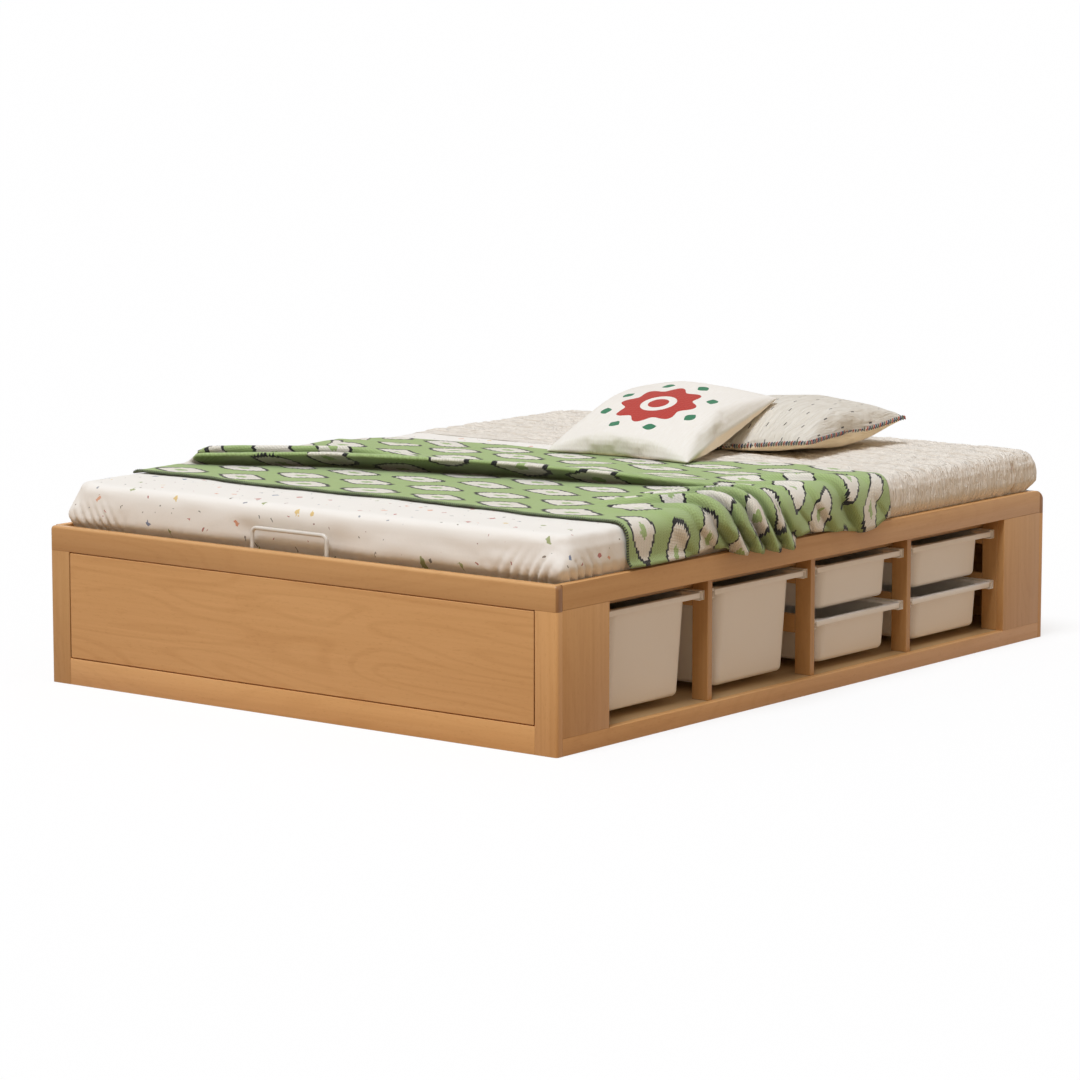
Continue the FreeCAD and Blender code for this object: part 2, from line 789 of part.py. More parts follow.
def throw_sections():
    """Sections from the left edge over the top, round the right edge and down to the hem."""
    foot, head = throw_foot_edge, throw_head_edge
    flat_z = mattress_top + soft_clearance
    half = mattress_width / 2
    edge_x = half - mattress_edge
    flat = rumple_height / 5
    side = ridge_width / 2
    sections = []
    for x, ridge in zip((-half, -half / 2, 0.0, half / 2, edge_x), ridge_places):
        crest = foot + ridge
        step = (head - crest - side) / 3
        knots = [crest - side, crest + side, crest + side + step, head - step]
        crests = [flat, ridge_height, flat, rumple_height, flat]
        sections.append(fold_section(vec(x, 0, flat_z), vec(0, 0, 1), foot, head, knots, crests))
    count = len(crests)
    knots = [foot + (head - foot) * i / count for i in range(1, count)]
    crests = [fold_height * (0.6 + 0.4 * (i % 2)) for i in range(count)]
    round_z = mattress_top - mattress_edge
    reach = mattress_edge + mattress_bulge + throw_side_room
    for degrees in (67.5, 45.0, 22.5, 0.0):
        out = vec(math.cos(math.radians(degrees)), 0, math.sin(math.radians(degrees)))
        centre = vec(edge_x, 0, round_z) + out * reach
        sections.append(fold_section(centre, out, foot, head, knots, crests))
    hem = vec(edge_x + reach, 0, box_height + throw_hem_room)
    sections.append(fold_section(hem, vec(1, 0, 0), foot, head, knots, crests))
    return sections


def pillow_outline(length, width, scale, bow, r, z):
    """Level outline of a pillow: four bowed sides, drawn in where bow is positive, and four corner arcs."""
    a, b = length / 2 * scale, width / 2 * scale
    c = r * (1 - math.sqrt(0.5))
    stops = []
    for sx, sy in ((1, 1), (-1, 1), (-1, -1), (1, -1)):
        first, last = (sx * a, sy * (b - r)), (sx * (a - r), sy * b)
        if sx != sy:
            first, last = last, first
        stops.append((first, (sx * (a - c), sy * (b - c)), last))
    middles = [(0, b - bow), (bow - a, 0), (0, bow - b), (a - bow, 0)]
    edges = []
    for i, (first, middle, last) in enumerate(stops):
        ahead = stops[(i + 1) % 4][0]
        edges.append(Part.Arc(vec(*first, z), vec(*middle, z), vec(*last, z)).toShape())
        edges.append(Part.Arc(vec(*last, z), vec(*middles[i], z), vec(*ahead, z)).toShape())
    return Part.Wire(edges)


def pillow_form(length, width, thickness, under):
    """Crowned pillow with a seam round it; under is the share of its thickness below the seam."""
    size = min(length, width)
    halves = []
    for levels, depth in ((crown_levels, (1 - under) * thickness), (belly_levels, -under * thickness)):
        wires = []
        for scale, bow, r, height in levels:
            wires.append(pillow_outline(length, width, scale, bow * size, r * size, height * depth))
        halves.append(Part.makeLoft(wires, True, False))
    return halves[0].fuse(halves[1]).Solids[0]


def settled(shape, supports):
    """Lowers a soft piece until it lies one clearance above what carries it."""
    shape.translate(vec(0, 0, settle_height))
    for step in range(12):
        room = min(shape.distToShape(support)[0] for support in supports) - soft_clearance
        if room < soft_clearance / 10:
            break
        shape.translate(vec(0, 0, -room))
    return shape


def bedding():
    mattress = mattress_form(0.0, deck_top + soft_clearance)
    pad = quilted_pad()
    throw = Part.makeLoft(throw_sections(), True, True)
    pillow = pillow_form(pillow_length, pillow_width, pillow_thickness, pillow_under)
    pillow.rotate(vec(0, 0, 0), vec(0, 0, 1), pillow_turn)
    pillow = settled(pillow.translated(vec(pillow_x, mattress_head - pillow_from_head, pad_top)), [pad])
    cushion = pillow_form(cushion_size, cushion_size, cushion_thickness, cushion_under)
    cushion.rotate(vec(0, 0, 0), vec(1, 0, 0), cushion_lean)
    cushion.rotate(vec(0, 0, 0), vec(0, 0, 1), cushion_turn)
    start = vec(cushion_x, mattress_head - cushion_from_head, pad_top + cushion_thickness / 2 + pillow_thickness)
    cushion = settled(cushion.translated(start), [throw, pad, mattress, pillow])
    return {
        "mattress": mattress,
        "quilted_pad": pad,
        "throw_blanket": throw,
        "back_pillow": pillow,
        "front_cushion": cushion,
    }


def bed():
    nodes = {}
    for pieces in (end_boards(), left_side(), right_side()):
        nodes.update(pieces)
    nodes = drilled(nodes)
    nodes["deck_ledgers"] = ledgers()
    nodes["slats"] = slats()
    nodes["lift_handle"] = lift_handle()
    for pieces in (dividers(), floors(), bay_runners(), bins(), deck_rails()):
        nodes.update(pieces)
    for pieces in (lift_gear(), corner_fastenings(), bedding()):
        nodes.update(pieces)
    return nodes


os.makedirs("parts", exist_ok=True)
for name, shape in bed().items():
    shape.exportStep("parts/%s.step" % name)
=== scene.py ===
import json
import math
from contextlib import contextmanager
from functools import partial

import bpy
import numpy as np
from mathutils import Matrix, Vector, noise
from mathutils.bvhtree import BVHTree

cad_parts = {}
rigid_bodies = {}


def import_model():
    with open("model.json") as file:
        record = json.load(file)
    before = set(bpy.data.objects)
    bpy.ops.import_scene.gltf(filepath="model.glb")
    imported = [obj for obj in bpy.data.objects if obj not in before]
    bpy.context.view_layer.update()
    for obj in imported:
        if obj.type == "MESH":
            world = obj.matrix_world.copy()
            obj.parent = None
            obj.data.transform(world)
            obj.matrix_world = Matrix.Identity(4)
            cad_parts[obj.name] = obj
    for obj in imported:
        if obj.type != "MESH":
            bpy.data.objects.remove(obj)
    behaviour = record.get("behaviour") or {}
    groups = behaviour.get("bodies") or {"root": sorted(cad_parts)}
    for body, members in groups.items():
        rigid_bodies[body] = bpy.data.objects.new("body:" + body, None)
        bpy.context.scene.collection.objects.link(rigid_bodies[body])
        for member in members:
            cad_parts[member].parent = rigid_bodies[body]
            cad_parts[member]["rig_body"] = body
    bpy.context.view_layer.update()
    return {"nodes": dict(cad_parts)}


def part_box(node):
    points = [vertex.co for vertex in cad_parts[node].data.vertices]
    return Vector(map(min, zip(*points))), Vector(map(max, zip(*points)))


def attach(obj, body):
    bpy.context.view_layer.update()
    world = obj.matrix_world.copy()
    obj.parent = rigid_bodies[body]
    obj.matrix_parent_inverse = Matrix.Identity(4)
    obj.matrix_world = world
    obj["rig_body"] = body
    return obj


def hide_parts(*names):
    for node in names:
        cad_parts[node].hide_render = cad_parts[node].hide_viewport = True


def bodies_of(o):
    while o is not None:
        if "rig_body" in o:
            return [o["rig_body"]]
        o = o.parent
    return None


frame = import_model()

bl_info = {
    "name": "Storage Bed",
    "version": (1, 0, 0),
    "blender": (4, 5, 0),
    "location": "View3D > Sidebar > Bed",
    "description": "Dresses the storage bed: boards, bins, lifting gear and bedding",
    "category": "Object",
}

NODES = frame["nodes"]
MATTRESS_LOW, MATTRESS_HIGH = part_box("mattress")
RAIL_LOW, RAIL_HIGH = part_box("right_side_top_rail")
AXES = {"X": 0, "Y": 1, "Z": 2}
# Millimetres in a metre; MM / size is the scale of a texture whose bumps have that size in millimetres
MM = 1000


def linear(code):
    """Linear red, green and blue of an sRGB hex colour."""
    parts = [int(code[i:i + 2], 16) / 255 for i in (1, 3, 5)]
    return tuple(c / 12.92 if c <= 0.04045 else ((c + 0.055) / 1.055) ** 2.4 for c in parts)


def colour_setting(code, label, description):
    return bpy.props.FloatVectorProperty(
        name=label, description=description, subtype="COLOR", size=3, min=0, max=1, default=linear(code)
    )


def length_setting(mm, label, description):
    return bpy.props.FloatProperty(
        name=label, description=description, subtype="DISTANCE", unit="LENGTH", min=0, default=mm / MM
    )


# Settings

class BedWoods(bpy.types.PropertyGroup):
    """Colours and edges of the boards."""

    pale: colour_setting("#e3b176", "Pale beech", "The light part of the oiled beech")
    deep: colour_setting("#c1894c", "Deep beech", "Streaks and figure in the oiled beech")
    dry_pale: colour_setting("#e6c193", "Dry beech", "Unoiled beech inside the box")
    dry_deep: colour_setting("#cc9c66", "Dry beech streaks", "Streaks in the unoiled beech")
    ply_pale: colour_setting("#e2bd8b", "Plywood", "Face veneer of the plywood")
    ply_deep: colour_setting("#c79a63", "Plywood streaks", "Streaks in the face veneer")
    arris: length_setting(0.8, "Arris", "Width of the eased edge on every board")


class BedFittings(bpy.types.PropertyGroup):
    """Colours and edges of the plastic and metal pieces."""

    bin_white: colour_setting("#fcfaf8", "Bin plastic", "Warm white polypropylene of the bins")
    runner_white: colour_setting("#f0ece4", "Runner plastic", "White plastic of the channels")
    coat_white: colour_setting("#dcd7ce", "Powder coat", "White powder coat on the handle")
    zinc: colour_setting("#c3c6c9", "Zinc plate", "Bright zinc on the brackets and hinges")
    enamel: colour_setting("#1b1b1d", "Black enamel", "Paint on the strut barrels")
    lip_round: length_setting(0.9, "Lip round", "Rounding of the bins' edges")


class BedFabrics(bpy.types.PropertyGroup):
    """Colours and sizes of the bedding."""

    sheet: colour_setting("#f4f0e9", "Sheet", "Ground of the fitted sheet")
    quilt: colour_setting("#fcf7ee", "Quilt", "Cotton of the quilted pad")
    knit: colour_setting("#b1c987", "Knit green", "Ground of the knitted throw")
    knit_cream: colour_setting("#fbf6ea", "Knit cream", "Cream diamonds of the throw")
    knit_black: colour_setting("#1d1c1b", "Knit black", "Outlines and edging of the throw")
    linen: colour_setting("#f2efeb", "Linen", "Face of the front cushion")
    linen_back: colour_setting("#f8e8cf", "Cushion back", "Underside of the front cushion")
    pillow_back: colour_setting("#efdab6", "Pillow back", "Underside of the back pillow")
    tuft: colour_setting("#b8352b", "Tufting", "Red tufted rosette")
    leaf: colour_setting("#2f7a56", "Tufted accents", "Green tufted accents")
    crinkle: colour_setting("#edeae2", "Crinkled cotton", "Face of the back pillow")
    quilt_pitch: length_setting(72, "Quilt channel", "Width of one stitched channel")
    stitch_width: length_setting(7, "Knit stitch width", "Width of one knitted stitch")
    stitch_height: length_setting(6, "Knit stitch height", "Height of one knitted stitch")
    throw_thickness: length_setting(4, "Throw thickness", "Thickness of the knitted cloth")


# Small helpers for meshes

MERGE_DISTANCE = 0.00002
FLAT_ANGLE = math.radians(0.5)
SHARP_ANGLE = math.radians(40)
SMOOTH_ANGLE = math.radians(35)


def only(obj):
    """Makes obj the one selected and active object."""
    bpy.ops.object.select_all(action="DESELECT")
    obj.select_set(True)
    bpy.context.view_layer.objects.active = obj


@contextmanager
def whole_mesh(obj):
    """Edit mode on one object, with all of its mesh selected."""
    only(obj)
    bpy.ops.object.mode_set(mode="EDIT")
    bpy.ops.mesh.select_all(action="SELECT")
    yield
    bpy.ops.object.mode_set(mode="OBJECT")


def set_uv(mesh, uv):
    """Keeps each point's place on the flat cloth, in metres, as the UV map Flat."""
    layer = mesh.uv_layers.new(name="Flat")
    corners = np.zeros(len(mesh.loops), np.int32)
    mesh.loops.foreach_get("vertex_index", corners)
    layer.data.foreach_set("uv", np.asarray(uv, np.float32)[corners].ravel())


def set_values(obj, name, values):
    """Keeps one number for each point under a name that a material can read."""
    layer = obj.data.attributes.new(name, "FLOAT", "POINT")
    layer.data.foreach_set("value", np.asarray(values, np.float32))


def mesh_piece(name, points, faces, uv=None):
    """A new object from points and faces; uv gives each point's place on the flat cloth, in metres."""
    mesh = bpy.data.meshes.new(name)
    mesh.from_pydata([tuple(p) for p in points], [], [tuple(f) for f in faces])
    if uv is not None:
        set_uv(mesh, uv)
    obj = bpy.data.objects.new(name, mesh)
    bpy.context.scene.collection.objects.link(obj)
    return obj


def quads_of(index):
    """The four corners of each face in a grid of point numbers."""
    corners = (index[:-1, :-1], index[1:, :-1], index[1:, 1:], index[:-1, 1:])
    return np.c_[tuple(corner.ravel() for corner in corners)]


def read_vectors(obj, key):
    values = np.zeros(len(obj.data.vertices) * 3)
    obj.data.vertices.foreach_get(key, values)
    return values.reshape(-1, 3)


def points_of(obj):
    return read_vectors(obj, "co")


def normals_of(obj):
    return read_vectors(obj, "normal")


def set_points(obj, co):
    obj.data.vertices.foreach_set("co", np.asarray(co, np.float32).ravel())
    obj.data.update()


def merged_copy(node, name):
    """A copy of a CAD node's mesh under a new name, with its loose triangles joined."""
    obj = bpy.data.objects.new(name, NODES[node].data.copy())
    bpy.context.scene.collection.objects.link(obj)
    with whole_mesh(obj):
        bpy.ops.mesh.remove_doubles(threshold=MERGE_DISTANCE)
        bpy.ops.mesh.dissolve_limited(angle_limit=FLAT_ANGLE)
    return obj


def apply_modifiers(obj):
    only(obj)
    for modifier in list(obj.modifiers):
        bpy.ops.object.modifier_apply(modifier=modifier.name)


def thicken(obj, label, thickness, offset):
    """Turns a cloth's surface into a wall; offset 1 builds it outwards and -1 inwards."""
    wall = obj.modifiers.new(label, "SOLIDIFY")
    wall.thickness = thickness
    wall.offset = offset
    apply_modifiers(obj)


def eased_copy(node, name, width):
    """A copy of a CAD node with its sharp edges rounded over."""
    obj = merged_copy(node, name)
    bevel = obj.modifiers.new("Eased edges", "BEVEL")
    bevel.width = width
    bevel.segments = 2
    bevel.limit_method = "ANGLE"
    bevel.angle_limit = SHARP_ANGLE
    bevel.use_clamp_overlap = True
    apply_modifiers(obj)
    bpy.ops.object.shade_smooth_by_angle(angle=SMOOTH_ANGLE)
    return obj


def coated(obj, material):
    """Gives an object one material in place of those that it has."""
    obj.data.materials.clear()
    obj.data.materials.append(material)


def dressed(obj, material, slot, body, *nodes):
    """Gives a finished piece its material and body, and hides the CAD nodes that it stands for; the slot is
    not used.
    """
    coated(obj, material)
    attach(obj, body)
    if nodes:
        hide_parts(*nodes)
    return obj


def body_of(node):
    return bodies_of(NODES[node])[0]


def smooth(low, high, value):
    """A soft step from 0 at low to 1 at high, for numbers and arrays."""
    t = np.clip((value - low) / (high - low), 0, 1)
    return t * t * (3 - 2 * t)


def bell(value, width):
    """A rounded hump: 1 where the value is 0, and little is left of it two widths away."""
    return np.exp(-((value / width) ** 2))


def crest(away, front, back):
    """A hump that falls off over one width in front of its line and over another behind it."""
    return bell(away, np.where(away < 0, front, back))


def unit(vectors):
    return vectors / np.linalg.norm(vectors, axis=1)[:, None]


def ripple(points, size, seed):
    """Smooth noise between about -1 and 1 at each point, with bumps of the given size."""
    return np.array([noise.noise(Vector(p) / size + Vector((seed, seed * 1.7, seed * 0.6))) for p in points])


# Material helpers

# A Mix node's sockets share their names, so they go by number: two for plain values and two for colours
VALUE_A, VALUE_B = 2, 3
A, B = 6, 7


def fill(node, inputs):
    """Fills a node's sockets with plain values or links; a node stands for its first output in use.

    The sockets go by name in a dict, or in their order in a list."""
    for key, value in inputs.items() if isinstance(inputs, dict) else enumerate(inputs):
        socket = node.inputs[key]
        if isinstance(value, bpy.types.Node):
            value = next(output for output in value.outputs if output.enabled)
        if isinstance(value, bpy.types.NodeSocket):
            node.id_data.links.new(value, socket)
        elif socket.type == "RGBA":
            socket.default_value = (*value, 1)
        else:
            socket.default_value = value


def add_node(tree, kind, inputs=(), stops=(), **settings):
    """Adds a shader node, sets its properties, fills its sockets and sets the colour stops of a ramp.

    A kind such as Math.SINE names the operation too."""
    kind, *operation = kind.split(".")
    made = tree.nodes.new("ShaderNode" + kind)
    if operation:
        made.operation = operation[0]
    for key, value in settings.items():
        setattr(made, key, value)
    fill(made, inputs)
    for i, (place, colour) in enumerate(stops):
        element = made.color_ramp.elements[i] if i < 2 else made.color_ramp.elements.new(place)
        element.position = place
        element.color = (*colour, 1)
    return made


def new_material(name, **sockets):
    """A material of one Principled shader with constant sockets set; returns it, the shader and an adder."""
    material = bpy.data.materials.new(name)
    material.use_nodes = True
    shader = material.node_tree.nodes["Principled BSDF"]
    fill(shader, {key.replace("_", " "): value for key, value in sockets.items()})
    return material, shader, partial(add_node, material.node_tree)


def times(colour, *factors):
    """A colour multiplied by one factor, or by one each for red, green and blue."""
    return tuple(c * k for c, k in zip(colour, factors if len(factors) == 3 else factors * 3))


# Wood

def timber(name, grain, shift, pale, deep, figure_depth):
    """Planed wood: arched figure, fine streaks and short brown flecks along the grain, darker end grain."""
    material, shader, add = new_material(name, Roughness=0.44, IOR=1.5)
    place = add("TexCoord")
    axis = AXES[grain]

    def pattern(along_mm, across_mm, detail, distortion=0.0):
        """Noise drawn out along the grain; its sizes are those of one bump."""
        scale = [MM / across_mm] * 3
        scale[axis] = MM / along_mm
        spread = add("Mapping", {"Vector": place.outputs["Object"], "Location": shift, "Scale": scale})
        return add("TexNoise", {
            "Vector": spread, "Scale": 1.0, "Detail": detail, "Roughness": 0.55, "Distortion": distortion})

    tone = pattern(along_mm=1400, across_mm=240, detail=1.0)
    streaks = pattern(along_mm=420, across_mm=9, detail=3.0)
    # The arched lines are waves of a slow, broad noise
    field = pattern(along_mm=1100, across_mm=150, detail=1.2, distortion=0.35)
    rings = add("Math.MULTIPLY", [field, 95.0])
    rings = add("Math.SINE", [rings])
    figure = add("MapRange", {"Value": rings, "From Min": 0.35, "From Max": 1.0})
    # Beech flecks are 2 to 3 mm long; they are drawn 16 mm long so that they show
    flecks = pattern(along_mm=16, across_mm=3.2, detail=1.0)
    flecks = add("MapRange", {"Value": flecks, "From Min": 0.6, "From Max": 0.72})
    depth = add("MapRange", {
        "Value": tone, "From Min": 0.3, "From Max": 0.75, "To Min": 0.05, "To Max": 0.4})
    for layer, weight in ((streaks, 0.5), (figure, figure_depth * 0.17), (flecks, 0.16)):
        depth = add("Math.MULTIPLY_ADD", [layer, weight, depth])
    depth = add("Math.SUBTRACT", [depth, 0.12], use_clamp=True)
    facing = [0.0, 0.0, 0.0]
    facing[axis] = 1.0
    ends = add("VectorMath.DOT_PRODUCT", [place.outputs["Normal"], facing])
    ends = add("Math.ABSOLUTE", [ends.outputs["Value"]])
    ends = add("MapRange", {"Value": ends, "From Min": 0.2, "From Max": 0.55, "To Max": 0.75})
    colour = add("Mix", {"Factor": depth, A: pale, B: deep}, data_type="RGBA")
    dark = times(deep, 0.5, 0.42, 0.36)
    colour = add("Mix", {"Factor": ends, A: colour, B: dark}, data_type="RGBA")
    gloss = add("MapRange", {"Value": streaks, "To Min": 0.38, "To Max": 0.54})
    relief = add("Bump", {"Strength": 0.12, "Distance": 0.0006, "Height": streaks})
    fill(shader, {"Base Color": colour, "Roughness": gloss, "Normal": relief})
    return material


def grain_of(node):
    """The grain runs along a board's length; a group of boards takes the longest side of one of them."""
    if node in ("front_posts", "back_posts") or "stile" in node:
        return "Z"
    if node in ("slats", "floor_bearers", "upper_cross_rails", "lower_cross_rails"):
        return "X"
    low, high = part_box(node)
    size = high - low
    return "X" if size.x >= size.y else "Y"


OILED = [
    end + "_" + piece for end in ("foot", "head")
    for piece in ("top_rail", "bottom_rail", "left_stile", "right_stile", "panel")
]
OILED += ["left_side_" + piece for piece in ("top_rail", "bottom_rail", "head_stile", "foot_stile", "panel")]
OILED += ["right_side_" + piece for piece in ("top_rail", "bottom_rail", "head_stile", "foot_stile")]
OILED += ["front_posts", "back_posts", "upper_cross_rails", "lower_cross_rails"]
DRY = ["deck_ledgers", "floor_bearers", "slats", "deck_left_rail", "deck_right_rail", "deck_mid_rails"]
DRY += ["deck_foot_rail", "deck_head_rail"]
PLYWOOD = ["storage_floor", "bay_floor", "bay_back_panel"]
# How much lighter or darker some boards are than the rest: partly each board's own tone, and partly painted
# shade on the right side's boards, which face away from the light, and on the posts, cross rails, bay floor
# and bay back deep in the bays
BOARD_TONE_AND_SHADE = {
    "foot_left_stile": 0.82, "foot_top_rail": 0.9, "foot_bottom_rail": 1.04, "right_side_top_rail": 0.88,
    "right_side_foot_stile": 0.9, "right_side_head_stile": 0.86, "front_posts": 0.76, "back_posts": 0.76,
    "upper_cross_rails": 0.76, "lower_cross_rails": 0.76, "bay_floor": 0.72, "bay_back_panel": 0.8,
}
# How strongly the arched figure shows
PANEL_FIGURE, BOARD_FIGURE, INNER_FIGURE = 0.9, 0.5, 0.4


# A board's colour made lighter or darker by its own tone and by the painted shade in the table above
def toned_and_shaded(colour, node):
    return times(colour, BOARD_TONE_AND_SHADE.get(node, 1.0))


class BED_OT_boards(bpy.types.Operator):
    """Eases and oils the boards of the box"""

    bl_idname = "bed.boards"
    bl_label = "Boards"

    def execute(self, context):
        woods = context.scene.bed_woods
        for i, node in enumerate(OILED):
            board = eased_copy(node, "oiled_" + node, woods.arris)
            shift = (i * 1.37, i * 2.11, i * 0.83)
            figure = PANEL_FIGURE if node.endswith("panel") else BOARD_FIGURE
            pale, deep = toned_and_shaded(woods.pale, node), toned_and_shaded(woods.deep, node)
            wood = timber("Oiled beech " + node, grain_of(node), shift, pale, deep, figure)
            dressed(board, wood, "beech", body_of(node), node)
        return {"FINISHED"}


class BED_OT_inner_timber(bpy.types.Operator):
    """Gives the deck, ledgers and floors their unoiled timber"""

    bl_idname = "bed.inner_timber"
    bl_label = "Inner timber"

    def execute(self, context):
        woods = context.scene.bed_woods
        for i, node in enumerate(DRY + PLYWOOD):
            shift = (i * 0.91 + 5, i * 1.73, i * 2.3)
            kind, pale, deep = "Dry beech ", woods.dry_pale, woods.dry_deep
            if node in PLYWOOD:
                kind, pale, deep = "Birch plywood ", woods.ply_pale, woods.ply_deep
            pale, deep = toned_and_shaded(pale, node), toned_and_shaded(deep, node)
            coated(NODES[node], timber(kind + node, grain_of(node), shift, pale, deep, INNER_FIGURE))
        return {"FINISHED"}


# Plastic and metal

def moulded_plastic(name, colour, roughness):
    """Injection-moulded polypropylene: waxy, with the fine spark texture of its mould."""
    material, shader, add = new_material(name, Base_Color=colour, IOR=1.49)
    place = add("TexCoord").outputs["Object"]
    # The texture's grit is 0.3 mm; it is drawn at 1.2 mm so that it shows
    grit = add("TexNoise", {"Vector": place, "Scale": MM / 1.2, "Detail": 1.0})
    haze = add("TexNoise", {"Vector": place, "Scale": MM / 90, "Detail": 2.0})
    gloss = add("MapRange", {"Value": haze, "To Min": roughness - 0.08, "To Max": roughness + 0.08})
    relief = add("Bump", {"Strength": 0.15, "Distance": 0.0003, "Height": grit})
    fill(shader, {"Roughness": gloss, "Normal": relief})
    return material


def powder_coat(name, colour):
    """Powder coat on steel rod: half gloss with a soft orange-peel skin."""
    material, shader, add = new_material(name, Base_Color=colour, Roughness=0.34, IOR=1.5)
    place = add("TexCoord").outputs["Object"]
    peel = add("TexNoise", {"Vector": place, "Scale": MM / 2.5, "Detail": 1.0})
    fill(shader, {"Normal": add("Bump", {"Strength": 0.2, "Distance": 0.0003, "Height": peel})})
    return material


def plated_steel(name, colour, roughness):
    """Bright plated steel: grey metal with cloudy patches from the bath."""
    material, shader, add = new_material(name, Metallic=1.0, Roughness=roughness)
    place = add("TexCoord").outputs["Object"]
    cloud = add("TexNoise", {"Vector": place, "Scale": MM / 14, "Detail": 3.0})
    tint = add("Mix", {"Factor": cloud, A: times(colour, 0.72), B: colour}, data_type="RGBA")
    gloss = add("MapRange", {"Value": cloud, "To Min": roughness - 0.1, "To Max": roughness + 0.12})
    fill(shader, {"Base Color": tint, "Roughness": gloss})
    return material


def black_enamel(name, colour):
    """Stoved enamel on a drawn tube: deep, half gloss, with faint draw lines."""
    material, shader, add = new_material(name, Base_Color=colour, Roughness=0.3, Coat_Weight=0.3)
    place = add("TexCoord").outputs["Object"]
    lines = add("Mapping", {"Vector": place, "Scale": (MM / 2, MM / 80, MM / 80)})
    lines = add("TexNoise", {"Vector": lines, "Scale": 1.0, "Detail": 1.0})
    fill(shader, {"Normal": add("Bump", {"Strength": 0.1, "Distance": 0.0002, "Height": lines})})
    return material


BINS = ["tall_bin_1", "tall_bin_2", "upper_bin_3", "lower_bin_3", "upper_bin_4", "lower_bin_4"]
RUNNERS = ["bay_%d_runners" % (i + 1) for i in range(4)]
ZINCED = ["hinge_plates", "hinge_arms", "strut_base_brackets", "strut_top_brackets", "corner_brackets"]


class BED_OT_bins(bpy.types.Operator):
    """Rounds the lips of the bins and their channels and gives them moulded plastic"""

    bl_idname = "bed.bins"
    bl_label = "Bins and channels"

    def execute(self, context):
        fittings = context.scene.bed_fittings
        plastic = moulded_plastic("Bin polypropylene", fittings.bin_white, roughness=0.46)
        for node in BINS:
            shell = eased_copy(node, "moulded_" + node, fittings.lip_round)
            dressed(shell, plastic, "bin_plastic", body_of(node), node)
        plastic = moulded_plastic("Channel PVC", fittings.runner_white, roughness=0.4)
        for node in RUNNERS:
            channel = eased_copy(node, "extruded_" + node, fittings.lip_round / 2)
            dressed(channel, plastic, "runner_plastic", body_of(node), node)
        return {"FINISHED"}


class BED_OT_metalwork(bpy.types.Operator):
    """Finishes the handle, hinges, struts, brackets and bolts"""

    bl_idname = "bed.metalwork"
    bl_label = "Metalwork"

    def execute(self, context):
        fittings = context.scene.bed_fittings
        zinc = plated_steel("Zinc plated steel", fittings.zinc, roughness=0.36)
        finishes = {node: zinc for node in ZINCED}
        finishes["lift_handle"] = powder_coat("Powder coated rod", fittings.coat_white)
        finishes["bracket_bolts"] = plated_steel("Zinc plated bolts", fittings.zinc, roughness=0.28)
        for side in ("left", "right"):
            finishes[side + "_strut_barrel"] = black_enamel("Strut enamel " + side, fittings.enamel)
            rod = plated_steel("Ground chrome rod " + side, fittings.zinc, roughness=0.14)
            finishes[side + "_strut_rod"] = rod
        for node, finish in finishes.items():
            coated(NODES[node], finish)
        return {"FINISHED"}


# Cloth materials

# A wave texture of scale 1 runs through 20 radians in a metre
WAVE_RATE = 20


def weave(add, place, radian_mm, height):
    """Plain weave relief: soft ribs over and under in two directions, 2 pi times radian_mm apart."""
    pair = []
    for turn in (0.0, math.pi / 2):
        lie = add("Mapping", {"Vector": place, "Rotation": (0.0, 0.0, turn)})
        pair.append(add("TexWave", {
            "Vector": lie, "Scale": MM / radian_mm / WAVE_RATE, "Distortion": 1.2,
            "Detail": 1.0, "Detail Scale": 2.0}))
    ribs = add("Math.MULTIPLY", pair)
    return add("Math.MULTIPLY", [ribs, height])


DOT_INKS = ["#7d2f2c", "#5b5750", "#a2443f", "#8b8f97", "#6a5a45"]
SHARD_INKS = ["#e3a27c", "#ddbd6c", "#8f9c57", "#5d6f93", "#b9605a", "#d98b62"]
# Each print's spacing in millimetres, its largest radius as a share of that, its form and its inks
PRINTS = ((60, 0.058, "EUCLIDEAN", DOT_INKS), (92, 0.105, "MANHATTAN", SHARD_INKS))


